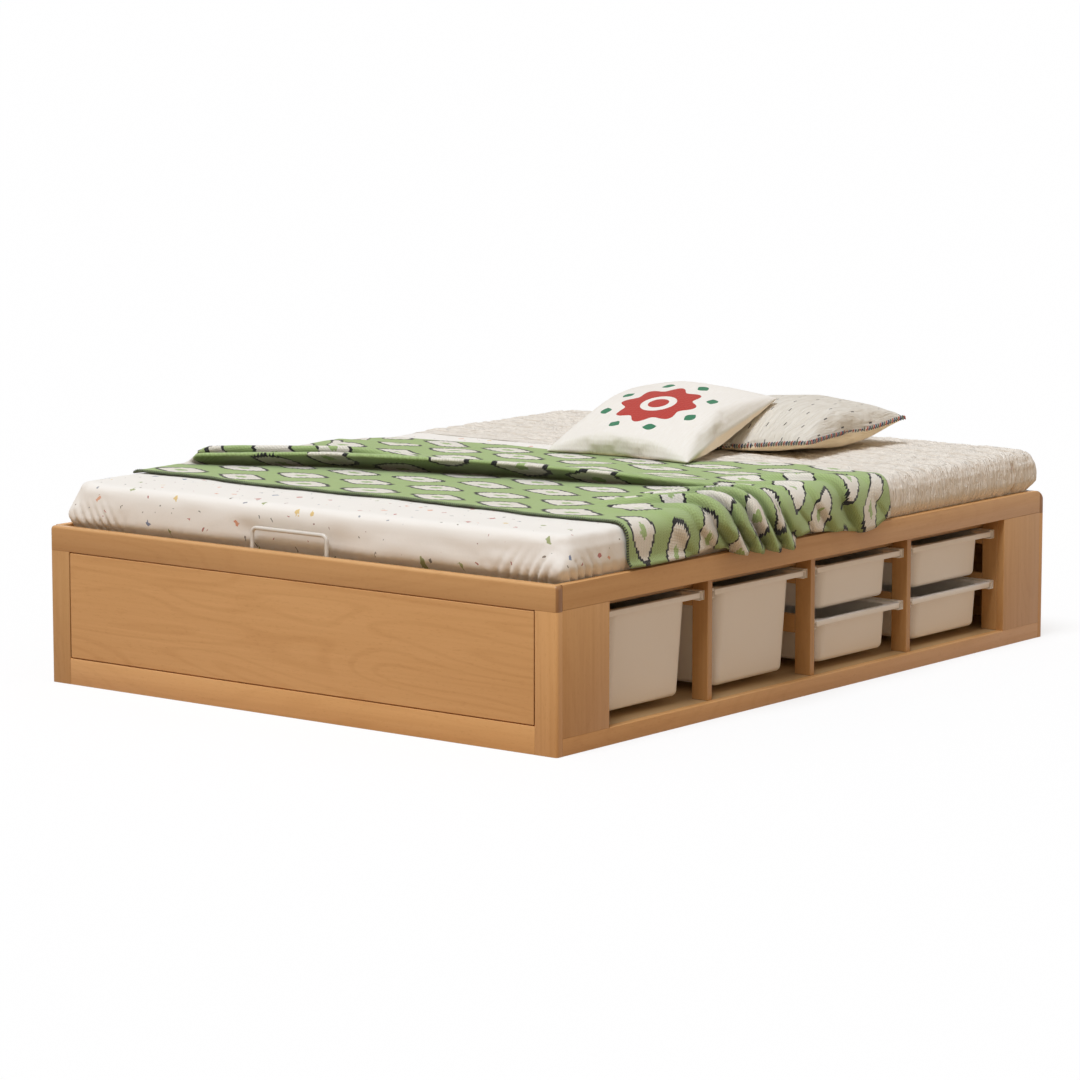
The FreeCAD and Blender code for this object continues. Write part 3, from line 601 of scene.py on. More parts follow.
def cotton_sheet(name, ground):
    """Percale sheet: matt off-white cotton with printed flecks, small dots and larger shards."""
    material, shader, add = new_material(name, Roughness=0.85, Sheen_Weight=0.1)
    place = add("TexCoord").outputs["Object"]
    flat = add("UVMap", uv_map="Flat").outputs["UV"]
    cloud = add("TexNoise", {"Vector": place, "Scale": MM / 160, "Detail": 2.0})
    colour = add("Mix", {"Factor": cloud, A: times(ground, 0.95), B: ground}, data_type="RGBA")
    jitter = add("TexNoise", {"Vector": flat, "Scale": MM / 14, "Detail": 1.0})
    jitter = add("VectorMath.SUBTRACT", [jitter.outputs["Color"], (0.5, 0.5, 0.5)])
    torn = add("VectorMath.MULTIPLY_ADD", [jitter, (0.02, 0.02, 0.0), flat])
    for pitch, largest, form, inks in PRINTS:
        scatter = add("TexVoronoi", {"Vector": torn, "Scale": MM / pitch},
                      voronoi_dimensions="2D", distance=form)
        pick = add("SeparateColor", {"Color": scatter.outputs["Color"]})
        size = add("MapRange", {
            "Value": pick.outputs["Red"], "From Min": 0.12, "To Min": largest * 0.3, "To Max": largest},
            clamp=False)
        inside = add("Math.LESS_THAN", [scatter.outputs["Distance"], size])
        steps = [(i / len(inks), linear(ink)) for i, ink in enumerate(inks)]
        fleck = add("ValToRGB", {"Fac": pick.outputs["Green"]}, stops=steps)
        fleck.color_ramp.interpolation = "CONSTANT"
        cover = add("Math.MULTIPLY", [inside, 0.85])
        colour = add("Mix", {"Factor": cover, A: colour, B: fleck}, data_type="RGBA")
    # Percale threads are 0.2 mm; the ribs are drawn 9 mm apart so that the cloth doesn't look like plaster
    threads = weave(add, place, radian_mm=1.5, height=0.2)
    creases = add("TexNoise", {"Vector": place, "Scale": MM / 45, "Detail": 3.0, "Distortion": 0.8})
    height = add("Math.ADD", [creases, threads])
    relief = add("Bump", {"Strength": 0.3, "Distance": 0.002, "Height": height})
    fill(shader, {"Base Color": colour, "Normal": relief})
    return material


def quilted_cotton(name, ground):
    """Washed cotton quilt: soft cream, crumpled into small sharp puckers, with shade painted into their
    hollows and along the seams.
    """
    material, shader, add = new_material(name, Roughness=0.9, Sheen_Weight=0.15)
    coords = add("TexCoord")
    groove_shade = add("Attribute", attribute_name="groove_shade")
    heights = []
    # Puckers 10 to 16 mm across with creases between them, then crepe lines 7 mm apart across the bed
    for size, kind in (((16, 10, 16), "RIDGED_MULTIFRACTAL"), ((50, 7, 50), "FBM")):
        lie = add("Mapping", {"Vector": coords.outputs["Object"], "Scale": [MM / mm for mm in size]})
        heights.append(add("TexNoise", {
            "Vector": lie, "Scale": 1.0, "Detail": 2.0, "Roughness": 0.6, "Distortion": 0.7},
            noise_type=kind, normalize=True))
    # The puckers are fullest on top; down the sides the cloth is drawn straight
    upward = add("SeparateXYZ", {"Vector": coords.outputs["Normal"]}).outputs["Z"]
    fullness = add("MapRange", {"Value": upward, "From Min": 0.3, "From Max": 0.8, "To Min": 0.35})
    pucker = add("Mix", {"Factor": fullness, VALUE_A: 0.5, VALUE_B: heights[0]}, data_type="FLOAT")
    pucker = add("Math.ADD", [pucker, heights[1]])
    # Painted shade: the colour darkens in the low parts of the puckers and crepe lines, and along the seams
    # and hollows that the mesh marks
    hollow_shade = add("MapRange", {
        "Value": pucker, "From Min": 0.72, "From Max": 1.1, "To Min": 0.25, "To Max": 0.0})
    depth = add("Math.MULTIPLY_ADD", [groove_shade.outputs["Fac"], 0.32, hollow_shade], use_clamp=True)
    shade = times(ground, 0.62, 0.52, 0.41)
    colour = add("Mix", {"Factor": depth, A: ground, B: shade}, data_type="RGBA")
    relief = add("Bump", {"Strength": 1.0, "Distance": 0.008, "Height": pucker})
    fill(shader, {"Base Color": colour, "Normal": relief})
    return material


def staggered(add, place, width, height):
    """Counts cells across and up a cloth, with every other row shifted by half a cell."""
    cells = add("VectorMath.MULTIPLY", [place, (1 / width, 1 / height, 1.0)])
    cells = add("SeparateXYZ", {"Vector": cells})
    row = add("Math.FLOOR", [cells.outputs["Y"]])
    half = add("Math.FLOORED_MODULO", [row, 2.0])
    across = add("Math.MULTIPLY_ADD", [half, 0.5, cells.outputs["X"]])
    return across, cells.outputs["Y"]


def off_middle(add, count):
    """How far a place lies from the middle of its cell, from 0 to 0.5."""
    place = add("Math.FRACT", [count])
    place = add("Math.SUBTRACT", [place, 0.5])
    return add("Math.ABSOLUTE", [place])


def knit_relief(add, flat, width, height):
    """Stocking stitch: columns of slanted legs that meet in a V, from 0 in the gaps to 1 on the yarn."""
    parts = add("SeparateXYZ", {"Vector": flat})
    leg = add("Math.PINGPONG", [parts.outputs["X"], width / 2])
    leg = add("Math.MULTIPLY", [leg, 2 / width])
    row = add("Math.MULTIPLY", [parts.outputs["Y"], 1 / height])
    row = add("Math.MULTIPLY_ADD", [leg, 0.6, row])
    row = add("Math.MULTIPLY", [row, 2 * math.pi])
    row = add("Math.SINE", [row])
    row = add("MapRange", {"Value": row, "From Min": -1.0, "From Max": 1.0})
    gap = add("Math.MULTIPLY", [leg, math.pi])
    gap = add("Math.SINE", [gap])
    gap = add("Math.POWER", [gap, 0.4])
    return add("Math.MULTIPLY", [row, gap])


def knitted_cotton(name, fabrics):
    """Jacquard knit: cream rounded diamonds with a black line and a green core, stepped stitch by stitch,
    with shade painted between the stitches and into the cloth's folds.
    """
    material, shader, add = new_material(name, Roughness=0.92, Sheen_Weight=0.2)
    flat = add("UVMap", uv_map="Flat").outputs["UV"]
    step = (fabrics.stitch_width, fabrics.stitch_height, 1.0)
    stepped = add("VectorMath.SNAP", [flat, step])
    away = []
    for count, stretch in zip(staggered(add, stepped, width=0.205, height=0.118), (1.0, 1.06)):
        place = add("Math.MULTIPLY", [off_middle(add, count), 2 * stretch])
        away.append(add("Math.POWER", [place, 1.3]))
    reach = add("Math.ADD", away)
    inks = [(0.0, fabrics.knit), (0.13, fabrics.knit_cream), (0.64, fabrics.knit_black), (0.80, fabrics.knit)]
    colour = add("ValToRGB", {"Fac": reach}, stops=inks)
    colour.color_ramp.interpolation = "CONSTANT"
    loops = knit_relief(add, flat, fabrics.stitch_width, fabrics.stitch_height)
    # Painted shade and highlight: the stitch relief darkens the colour in the gaps between the yarn and
    # lightens it on the yarn
    shade = add("MapRange", {"Value": loops, "To Min": 0.82, "To Max": 1.12})
    # Painted shade: the colour darkens where ambient occlusion finds the cloth folded close round it
    folds = add("AmbientOcclusion", {"Distance": 0.08}).outputs["AO"]
    folds = add("MapRange", {
        "Value": folds, "From Min": 0.3, "From Max": 0.95, "To Min": 0.42, "To Max": 1.0})
    shade = add("Math.MULTIPLY", [shade, folds])
    tint = add("CombineColor", {"Red": shade, "Green": shade, "Blue": shade})
    colour = add("Mix", {"Factor": 1.0, A: colour, B: tint}, data_type="RGBA", blend_type="MULTIPLY")
    relief = add("Bump", {"Strength": 0.7, "Distance": 0.002, "Height": loops})
    fill(shader, {"Base Color": colour, "Normal": relief})
    return material


def wool_yarn(name, colour):
    """Loosely spun wool yarn: matt, twisted."""
    material, shader, add = new_material(name, Base_Color=colour, Roughness=0.95, Sheen_Weight=0.25)
    place = add("TexCoord").outputs["Object"]
    twist = add("TexNoise", {"Vector": place, "Scale": MM / 1.5, "Detail": 2.0})
    fill(shader, {"Normal": add("Bump", {"Strength": 0.5, "Distance": 0.0008, "Height": twist})})
    return material


def underside(add, face, back):
    """The face colour above the seam and the backing cloth below it, by the panel attribute."""
    panel = add("Attribute", attribute_name="panel")
    return add("Mix", {"Factor": panel.outputs["Fac"], A: back, B: face}, data_type="RGBA")


# The rosette's radii in metres: valleys and tips of the petals, the plain ring's outside, and the core
PETAL_VALLEY, PETAL_TIP, RING_ROUND, CORE_ROUND = 0.1, 0.126, 0.054, 0.031
# How far out the lozenges lie and half their length
LOZENGE_OUT, LOZENGE_HALF = 0.157, 0.017


def tufted_linen(name, fabrics):
    """Slub linen with a tufted red rosette: eight round petals, and small green lozenges between them."""
    material, shader, add = new_material(name, Roughness=0.9, Sheen_Weight=0.15)
    flat = add("UVMap", uv_map="Flat").outputs["UV"]
    parts = add("SeparateXYZ", {"Vector": flat})
    radius = add("VectorMath.LENGTH", [flat]).outputs["Value"]
    angle = add("Math.ARCTAN2", [parts.outputs["Y"], parts.outputs["X"]])
    petals = add("Math.MULTIPLY", [angle, 8.0])
    petals = add("Math.COSINE", [petals])
    edge = add("MapRange", {
        "Value": petals, "From Min": -1.0, "From Max": 1.0, "To Min": PETAL_VALLEY, "To Max": PETAL_TIP})
    red = add("Math.LESS_THAN", [radius, edge])
    ring = add("Math.GREATER_THAN", [radius, RING_ROUND])
    core = add("Math.LESS_THAN", [radius, CORE_ROUND])
    red = add("Math.MULTIPLY", [red, ring])
    red = add("Math.MAXIMUM", [red, core])
    far = add("Math.SUBTRACT", [radius, LOZENGE_OUT])
    far = add("Math.ABSOLUTE", [far])
    spread = add("MapRange", {
        "Value": petals, "From Min": -1.0, "From Max": -0.4, "To Min": LOZENGE_HALF, "To Max": -0.003})
    green = add("Math.LESS_THAN", [far, spread])
    slub = add("Mapping", {"Vector": flat, "Scale": (MM / 3, MM / 40, 1.0)})
    slub = add("TexNoise", {"Vector": slub, "Scale": 1.0, "Detail": 2.0})
    shade = times(fabrics.linen, 0.9, 0.87, 0.8)
    colour = add("Mix", {"Factor": slub, A: shade, B: fabrics.linen}, data_type="RGBA")
    for area, dye in ((red, fabrics.tuft), (green, fabrics.leaf)):
        colour = add("Mix", {"Factor": area, A: colour, B: dye}, data_type="RGBA")
    pile = add("TexNoise", {"Vector": flat, "Scale": MM / 4.5, "Detail": 2.0})
    tone = add("MapRange", {"Value": pile, "To Min": 0.7, "To Max": 1.15})
    tint = add("CombineColor", {"Red": tone, "Green": tone, "Blue": tone})
    tufts = add("Math.MAXIMUM", [red, green])
    colour = add("Mix", {"Factor": tufts, A: colour, B: tint}, data_type="RGBA", blend_type="MULTIPLY")
    colour = underside(add, colour, fabrics.linen_back)
    raised = add("Math.ADD", [pile, 1.6])
    raised = add("Math.MULTIPLY", [raised, tufts])
    # Linen threads are 0.7 mm; the ribs are drawn 13 mm apart, as broad slubs
    threads = weave(add, flat, radian_mm=2.0, height=0.35)
    height = add("Math.ADD", [threads, raised])
    relief = add("Bump", {"Strength": 0.5, "Distance": 0.0018, "Height": height})
    fill(shader, {"Base Color": colour, "Normal": relief})
    return material


def crinkled_cotton(name, fabrics):
    """Double gauze drawn into fine crinkles, with short dark stitches set out in rows."""
    material, shader, add = new_material(name, Roughness=0.9, Sheen_Weight=0.15)
    flat = add("UVMap", uv_map="Flat").outputs["UV"]
    lie = add("Mapping", {"Vector": flat, "Scale": (MM / 9, MM / 70, 1.0)})
    crinkle = add("TexNoise", {"Vector": lie, "Scale": 1.0, "Detail": 3.0, "Distortion": 0.9})
    near = []
    for count, limit in zip(staggered(add, flat, width=0.062, height=0.07), (0.028, 0.11)):
        near.append(add("Math.LESS_THAN", [off_middle(add, count), limit]))
    stitch = add("Math.MULTIPLY", near)
    # Painted shade: the crinkles' hollows are darkened in colour by the same noise that gives their relief
    shade = times(fabrics.crinkle, 0.7, 0.64, 0.56)
    colour = add("Mix", {"Factor": crinkle, A: shade, B: fabrics.crinkle}, data_type="RGBA")
    colour = add("Mix", {"Factor": stitch, A: colour, B: linear("#4a4540")}, data_type="RGBA")
    colour = underside(add, colour, fabrics.pillow_back)
    relief = add("Bump", {"Strength": 1.0, "Distance": 0.005, "Height": crinkle})
    fill(shader, {"Base Color": colour, "Normal": relief})
    return material


# Mattress and pad, with sizes in metres

MATTRESS_VOXEL, PAD_VOXEL = 0.0105, 0.011
# Radii of the solid's upright corners and top edges
CORNER_ROUND, EDGE_ROUND = 0.045, 0.028
GATHER_REACH, GATHER_PITCH, GATHER_DEPTH = 0.24, 0.03, 0.013
PAD_LIFT, PAD_LEAST, PAD_WALL = 0.0022, 0.0024, 0.002
# Stands in for zero
TINY = 1e-9


def soft_copy(node, name, voxel):
    """A remeshed copy of a soft CAD solid, with even quads to work on."""
    obj = merged_copy(node, name)
    obj.data.remesh_voxel_size = voxel
    bpy.ops.object.voxel_remesh()
    bpy.ops.object.shade_smooth()
    return obj


def squared(co, axes, low, high, reach, left):
    """Draws edges of radius reach, in the plane of two axes, out to a smaller one: a share left of it."""
    flat = co[:, axes]
    middle, half = (low + high) / 2, (high - low) / 2
    away = (np.abs(flat - middle) - (half - reach)) / reach
    corner = (away > 0).all(1)
    length = np.linalg.norm(away, axis=1)
    c, d = np.abs(away.T) / np.maximum(length, TINY)
    out = 1 / np.maximum(np.maximum(c, d), TINY)
    core = 1 - left
    bent = core * (c + d)
    bent = bent + np.sqrt(np.maximum(bent ** 2 - 2 * core ** 2 + left ** 2, 0))
    out = np.where(out * np.minimum(c, d) > core, bent, out)
    new = np.where(corner[:, None], away * out[:, None], away)
    co[:, axes] = middle + np.sign(flat - middle) * (new * reach + half - reach)
    return co


def mattress_block(name, voxel):
    """The mattress as it lies: crisp along its top edges, swelling over the rails, dented by the handle.

    Its upright corners are tight at the rails and, at the foot, drawn in by the sheet at the top."""
    tight, looser_head = 0.3, 0.12
    side_crisp, head_crisp = 0.45, 0.6
    side_swell, head_swell, foot_flat = 0.014, 0.018, 0.011
    tuck_depth, tuck_reach = 0.012, 0.055
    dent_depth, dent_reach = 0.009, 0.08
    gap_depth = 0.012
    out_of_reach = 1.0
    rail, crown = RAIL_HIGH.z, MATTRESS_HIGH.z
    piece = soft_copy("mattress", name, voxel)
    co, n = points_of(piece), normals_of(piece)
    low, high = co.min(0), co.max(0)
    z = co[:, 2].copy()
    toe = smooth(0.3, -0.3, co[:, 1])
    drawn = smooth(rail + 0.02, crown - 0.03, z) * toe
    left = tight + (1 - tight) * drawn + looser_head * (1 - toe)
    co = squared(co, [0, 1], low[:2], high[:2], CORNER_ROUND, left)
    # Only the top edges of the sides and the head are made crisp
    co = squared(co, [0, 2], low[[0, 2]] - [0, out_of_reach], high[[0, 2]], EDGE_ROUND, side_crisp)
    co = squared(co, [1, 2], low[1:] - out_of_reach, high[1:], EDGE_ROUND, head_crisp)
    head, foot = smooth(0.3, 0.9, n[:, 1]), smooth(0.3, 0.9, -n[:, 1])
    swell = smooth(crown + 0.005, crown - 0.035, z) * smooth(rail - 0.005 + 0.01 * head, rail + 0.03, z)
    swell = (side_swell + head_swell * head - foot_flat * foot) * swell
    co += n * np.array([1, 1, 0]) * swell[:, None]
    room = np.minimum(np.abs(co[:, :2] - low[:2]), np.abs(co[:, :2] - high[:2]))
    tuck = bell(np.linalg.norm(room, axis=1), tuck_reach) * smooth(rail + 0.03, crown - 0.01, z)
    co[:, :2] -= np.sign(co[:, :2]) * (tuck_depth * tuck * toe)[:, None]
    grip_low, grip_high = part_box("lift_handle")
    beside = np.maximum(grip_low.x - co[:, 0], co[:, 0] - grip_high.x)
    dent = smooth(dent_reach, 0.0, beside) * foot * smooth(grip_high.z + 0.03, grip_high.z - 0.02, z)
    co[:, 1] += dent_depth * dent
    # The foot end curves in at the bottom and leaves a dark gap behind the rail
    co[:, 1] += gap_depth * foot * smooth(rail + 0.014, rail - 0.006, z)
    set_points(piece, co)
    return piece


def laid_flat(co, n, top):
    """Each point's place across and along the cover pressed flat, and how far it hangs below the top."""
    drop = np.clip(top - 0.02 - co[:, 2], 0, None)
    on_end = smooth(0.35, 0.75, np.abs(n[:, 1]))
    across = co[:, 0] + np.sign(co[:, 0]) * drop * (1 - on_end)
    along = co[:, 1] + np.sign(co[:, 1]) * drop * on_end
    return across, along, drop


def gathers(away, drop, seed):
    """Folds that a fitted sheet's elastic draws up beside a corner: they lean to it as they rise."""
    lean, far_share = 0.6, 0.12
    run = away - lean * drop
    wander = np.array([noise.noise(Vector((r * 7, seed, 0))) for r in run])
    size = np.array([noise.noise(Vector((r * 19, seed, 5))) for r in run])
    folds = np.abs(np.sin(math.pi * (run / GATHER_PITCH + 1.1 * wander))) ** 0.6 - 0.65
    near = smooth(0.012, 0.06, away) * (far_share + (1 - far_share) * smooth(GATHER_REACH, 0.09, away))
    return folds * (0.8 + 0.7 * size) * near * smooth(0.0, 0.085, drop)


class BED_OT_mattress(bpy.types.Operator):
    """Makes the mattress in its fitted sheet, drawn into gathers at the corners"""

    bl_idname = "bed.mattress"
    bl_label = "Mattress"

    def execute(self, context):
        piece = mattress_block("sheeted_mattress", MATTRESS_VOXEL)
        co = points_of(piece)
        low, high = co.min(0), co.max(0)
        # Smaller faces beside the corners, where the sheet is gathered
        room = np.minimum(co[:, :2] - low[:2], high[:2] - co[:, :2])
        bunched = (room.min(1) < 0.05) & (room.max(1) < GATHER_REACH) & (co[:, 2] > RAIL_LOW.z)
        bpy.ops.object.mode_set(mode="EDIT")
        bpy.ops.mesh.select_all(action="DESELECT")
        bpy.ops.object.mode_set(mode="OBJECT")
        piece.data.vertices.foreach_set("select", bunched)
        bpy.ops.object.mode_set(mode="EDIT")
        bpy.ops.mesh.select_mode(type="VERT")
        bpy.ops.mesh.subdivide(number_cuts=1, smoothness=0.5)
        bpy.ops.object.mode_set(mode="OBJECT")
        co, n = points_of(piece), normals_of(piece)
        across, along, drop = laid_flat(co, n, high[2])
        flat = np.c_[across, along, along * 0]
        creases = ripple(flat * np.array([0.3, 1, 1]), 0.028, 6) * smooth(0.9, 0.4, n[:, 2])
        move = 0.0014 * ripple(co, 0.09, 3) + 0.0022 * creases
        for side in (0, 1):
            other = 1 - side
            wall = smooth(0.35, 0.8, np.abs(n[:, side]))
            for end in (low[other], high[other]):
                move += GATHER_DEPTH * wall * gathers(np.abs(co[:, other] - end), drop, side + 3 * end)
        set_points(piece, co + n * move[:, None])
        set_uv(piece.data, np.c_[across, along])
        cloth = cotton_sheet("Printed percale", context.scene.bed_fabrics.sheet)
        dressed(piece, cloth, "bed_sheet", "deck", "mattress")
        return {"FINISHED"}


def quilting(co, n, start, pitch):
    """How far the pad stands off the mattress at each point, and how much shade is painted there along a seam
    or in a hollow.
    """
    across, along, drop = laid_flat(co, n, MATTRESS_HIGH.z)
    flat = np.c_[across, along, along * 0]
    hanging = smooth(0.0, 0.03, drop)
    # Stitched channels run across the bed in shallow waves
    waves = 0.009 * np.sin(across * 2 * math.pi / 0.17)
    channel = (along + waves + 0.016 * ripple(flat, 0.09, 5)) / pitch
    away = np.abs(channel - np.round(channel))
    groove_shade, puff = bell(away, 0.07), 1 - bell(away, 0.16)
    pucker = np.exp(-away / 0.25) * ripple(flat * np.array([1, 0.4, 1]), 0.011, 9)
    crumple = ripple(flat, 0.016, 13) + 0.7 * ripple(flat, 0.04, 17)
    lines = ripple(flat * np.array([0.1, 1, 1]), 0.015, 19) * hanging
    # The crumpling is fullest on top, and the foot edge is a plain band with fine pleats where it hangs
    full = 0.3 + 0.7 * smooth(0.3, 0.8, n[:, 2])
    band = smooth(0.035, 0.05, along - start)
    pleats = (1 - band) * ripple(flat * np.array([0.06, 1, 1]), 0.009, 23) * hanging
    height = PAD_LIFT + band * (0.0022 * puff + 0.0034 * full * (pucker + crumple) + 0.0034 * lines)
    height = np.maximum(height, PAD_LEAST)
    # The pad is sewn up at its two head corners: an upright seam on each side
    upright = bell(along - MATTRESS_HIGH.y + 0.1, 0.0075)
    upright = upright * smooth(0.0, 0.012, drop) * smooth(0.5, 0.8, np.abs(n[:, 0]))
    # Painted shade: the seams, the hollows of the crumpled cloth and the upright seams are darkened in colour
    # as well as dented
    dip_shade = smooth(0.1, -0.9, crumple + pucker)
    dark = np.clip((full * (groove_shade + 0.7 * dip_shade) + 3.2 * upright) * band, 0, 3)
    return height + 0.002 * pleats - 0.005 * upright, dark


class BED_OT_pad(bpy.types.Operator):
    """Makes the quilted pad over the head half of the mattress"""

    bl_idname = "bed.pad"
    bl_label = "Quilted pad"

    def execute(self, context):
        fabrics = context.scene.bed_fabrics
        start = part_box("quilted_pad")[0].y
        hem = RAIL_HIGH.z + 0.001
        piece = mattress_block("quilted_cover", PAD_VOXEL)
        with whole_mesh(piece):
            bpy.ops.mesh.bisect(plane_co=(0, start, 0), plane_no=(0, 1, 0), clear_inner=True)
            bpy.ops.mesh.select_all(action="SELECT")
            bpy.ops.mesh.bisect(plane_co=(0, 0, hem), plane_no=(0, 0, 1), clear_inner=True)
            bpy.ops.mesh.select_all(action="SELECT")
            bpy.ops.mesh.subdivide(number_cuts=1)
        co, n = points_of(piece), normals_of(piece)
        lift, dark = quilting(co, n, start, fabrics.quilt_pitch)
        set_points(piece, co + n * lift[:, None])
        # The painted shade of the seams and hollows goes to the material
        set_values(piece, "groove_shade", dark)
        thicken(piece, "Wadding", PAD_WALL, offset=-1)
        bpy.ops.object.shade_smooth()
        cotton = quilted_cotton("Washed cotton quilt", fabrics.quilt)
        dressed(piece, cotton, "quilted_cotton", "deck", "quilted_pad")
        return {"FINISHED"}


# Throw, with sizes and places in metres

# Where the cloth's foot and head edges lie, and how far it clears the mattress
THROW_FOOT, THROW_HEAD, THROW_CLEAR = -0.765, 0.300, 0.0025
# Radius of the cloth's turn over the mattress's edges
THROW_TURN = 0.034
THROW_ROWS, THROW_COLUMNS = 196, 240
# The rolled fold from left to right: x with the y of its line, and x with its height
FOLD_LINE = (
    (-0.76, -0.565), (-0.55, -0.445), (-0.374, -0.345), (-0.011, -0.255), (0.35, -0.185), (0.6, -0.15),
    (0.8, -0.12),
)
FOLD_HEIGHT = (
    (-0.75, 0.0), (-0.69, 0.03), (-0.4, 0.04), (0.0, 0.042), (0.3, 0.035), (0.5, 0.018), (0.7, 0.004),
)
# Pleats over the right edge: where each crest runs, its height and the length of the slope behind it
PLEATS = (
    (-0.6, 0.010, 0.09), (-0.52, 0.018, 0.06), (-0.454, 0.042, 0.05), (-0.389, 0.042, 0.048),
    (-0.324, 0.046, 0.048), (-0.262, 0.044, 0.05), (-0.19, 0.022, 0.06), (-0.12, 0.014, 0.06),
    (-0.04, 0.018, 0.07), (0.077, 0.028, 0.1), (0.2, 0.012, 0.08),
)
PLEAT_FRONT = 0.018
# The hem from foot to head: y with its height over the rail's top
HEM = (
    (-0.77, 0.008), (-0.7, 0.005), (-0.55, 0.006), (-0.46, 0.018), (-0.4, 0.014), (-0.345, -0.008),
    (-0.315, 0.004), (-0.28, -0.012), (-0.25, 0.0), (-0.215, -0.016), (-0.185, -0.002), (-0.16, -0.016),
    (-0.13, -0.008), (-0.1, 0.01), (-0.05, 0.014), (0.0, 0.006), (0.08, 0.0), (0.16, -0.012),
    (0.22, -0.007), (0.3, 0.01),
)
# The head edge from left to right: x with how far it is moved towards the head
HEAD_EDGE = (
    (-0.76, -0.235), (-0.673, -0.135), (-0.513, -0.12), (-0.37, -0.09), (-0.2, -0.1), (0.0, -0.11),
    (0.24, -0.06), (0.4, 0.035), (0.5, 0.045), (0.62, 0.03), (0.78, 0.0),
)
# A stitch over an edge is a bent rod: sides round it, and rings along it
STITCH_SIDES, STITCH_RINGS = 5, 4


def through(stops, x):
    """The value at x on straight lines through (x, value) stops."""
    places, values = zip(*stops)
    return np.interp(x, places, values)


def whip_stitches(name, edge, inward, up, pitch, reach, radius):
    """Short loops of yarn over an edge: each goes from the face, round the edge and back underneath."""
    steps = np.r_[0, np.cumsum(np.linalg.norm(np.diff(edge, axis=0), axis=1))]
    count = int(steps[-1] / pitch)
    at = (np.arange(count) + 0.5) * pitch

    def follow(values):
        return np.c_[[np.interp(at, steps, values[:, k]) for k in range(3)]].T

    middle, into, above = follow(edge), follow(inward), follow(up)
    ahead = unit(np.gradient(middle, axis=0))
    lift = radius * 1.6
    # Each ring's way in from the edge, its way up, and its skew along the edge as a share of the pitch
    path = [(reach, lift, 0.3), (reach * 0.3, lift * 1.25, 0.1)]
    path += [(-radius * 1.5, 0, 0), (reach * 0.5, -lift, -0.2)]
    turns = np.linspace(0, 2 * math.pi, STITCH_SIDES, endpoint=False)
    points, faces = [], []
    for i in range(count):
        base = len(points)
        for inn, out, skew in path:
            centre = middle[i] + into[i] * inn + above[i] * out + ahead[i] * skew * pitch
            outward = above[i] if abs(out) > TINY else -into[i]
            points += [centre + radius * (math.cos(a) * ahead[i] + math.sin(a) * outward) for a in turns]
        for j in range(STITCH_RINGS - 1):
            for k in range(STITCH_SIDES):
                a = base + j * STITCH_SIDES + k
                b = base + j * STITCH_SIDES + (k + 1) % STITCH_SIDES
                faces.append((a, b, b + STITCH_SIDES, a + STITCH_SIDES))
        faces.append(tuple(base + k for k in reversed(range(STITCH_SIDES))))
        faces.append(tuple(base + (STITCH_RINGS - 1) * STITCH_SIDES + k for k in range(STITCH_SIDES)))
    piece = mesh_piece(name, points, faces)
    with whole_mesh(piece):
        bpy.ops.mesh.normals_make_consistent(inside=False)
    bpy.ops.object.shade_smooth()
    return piece


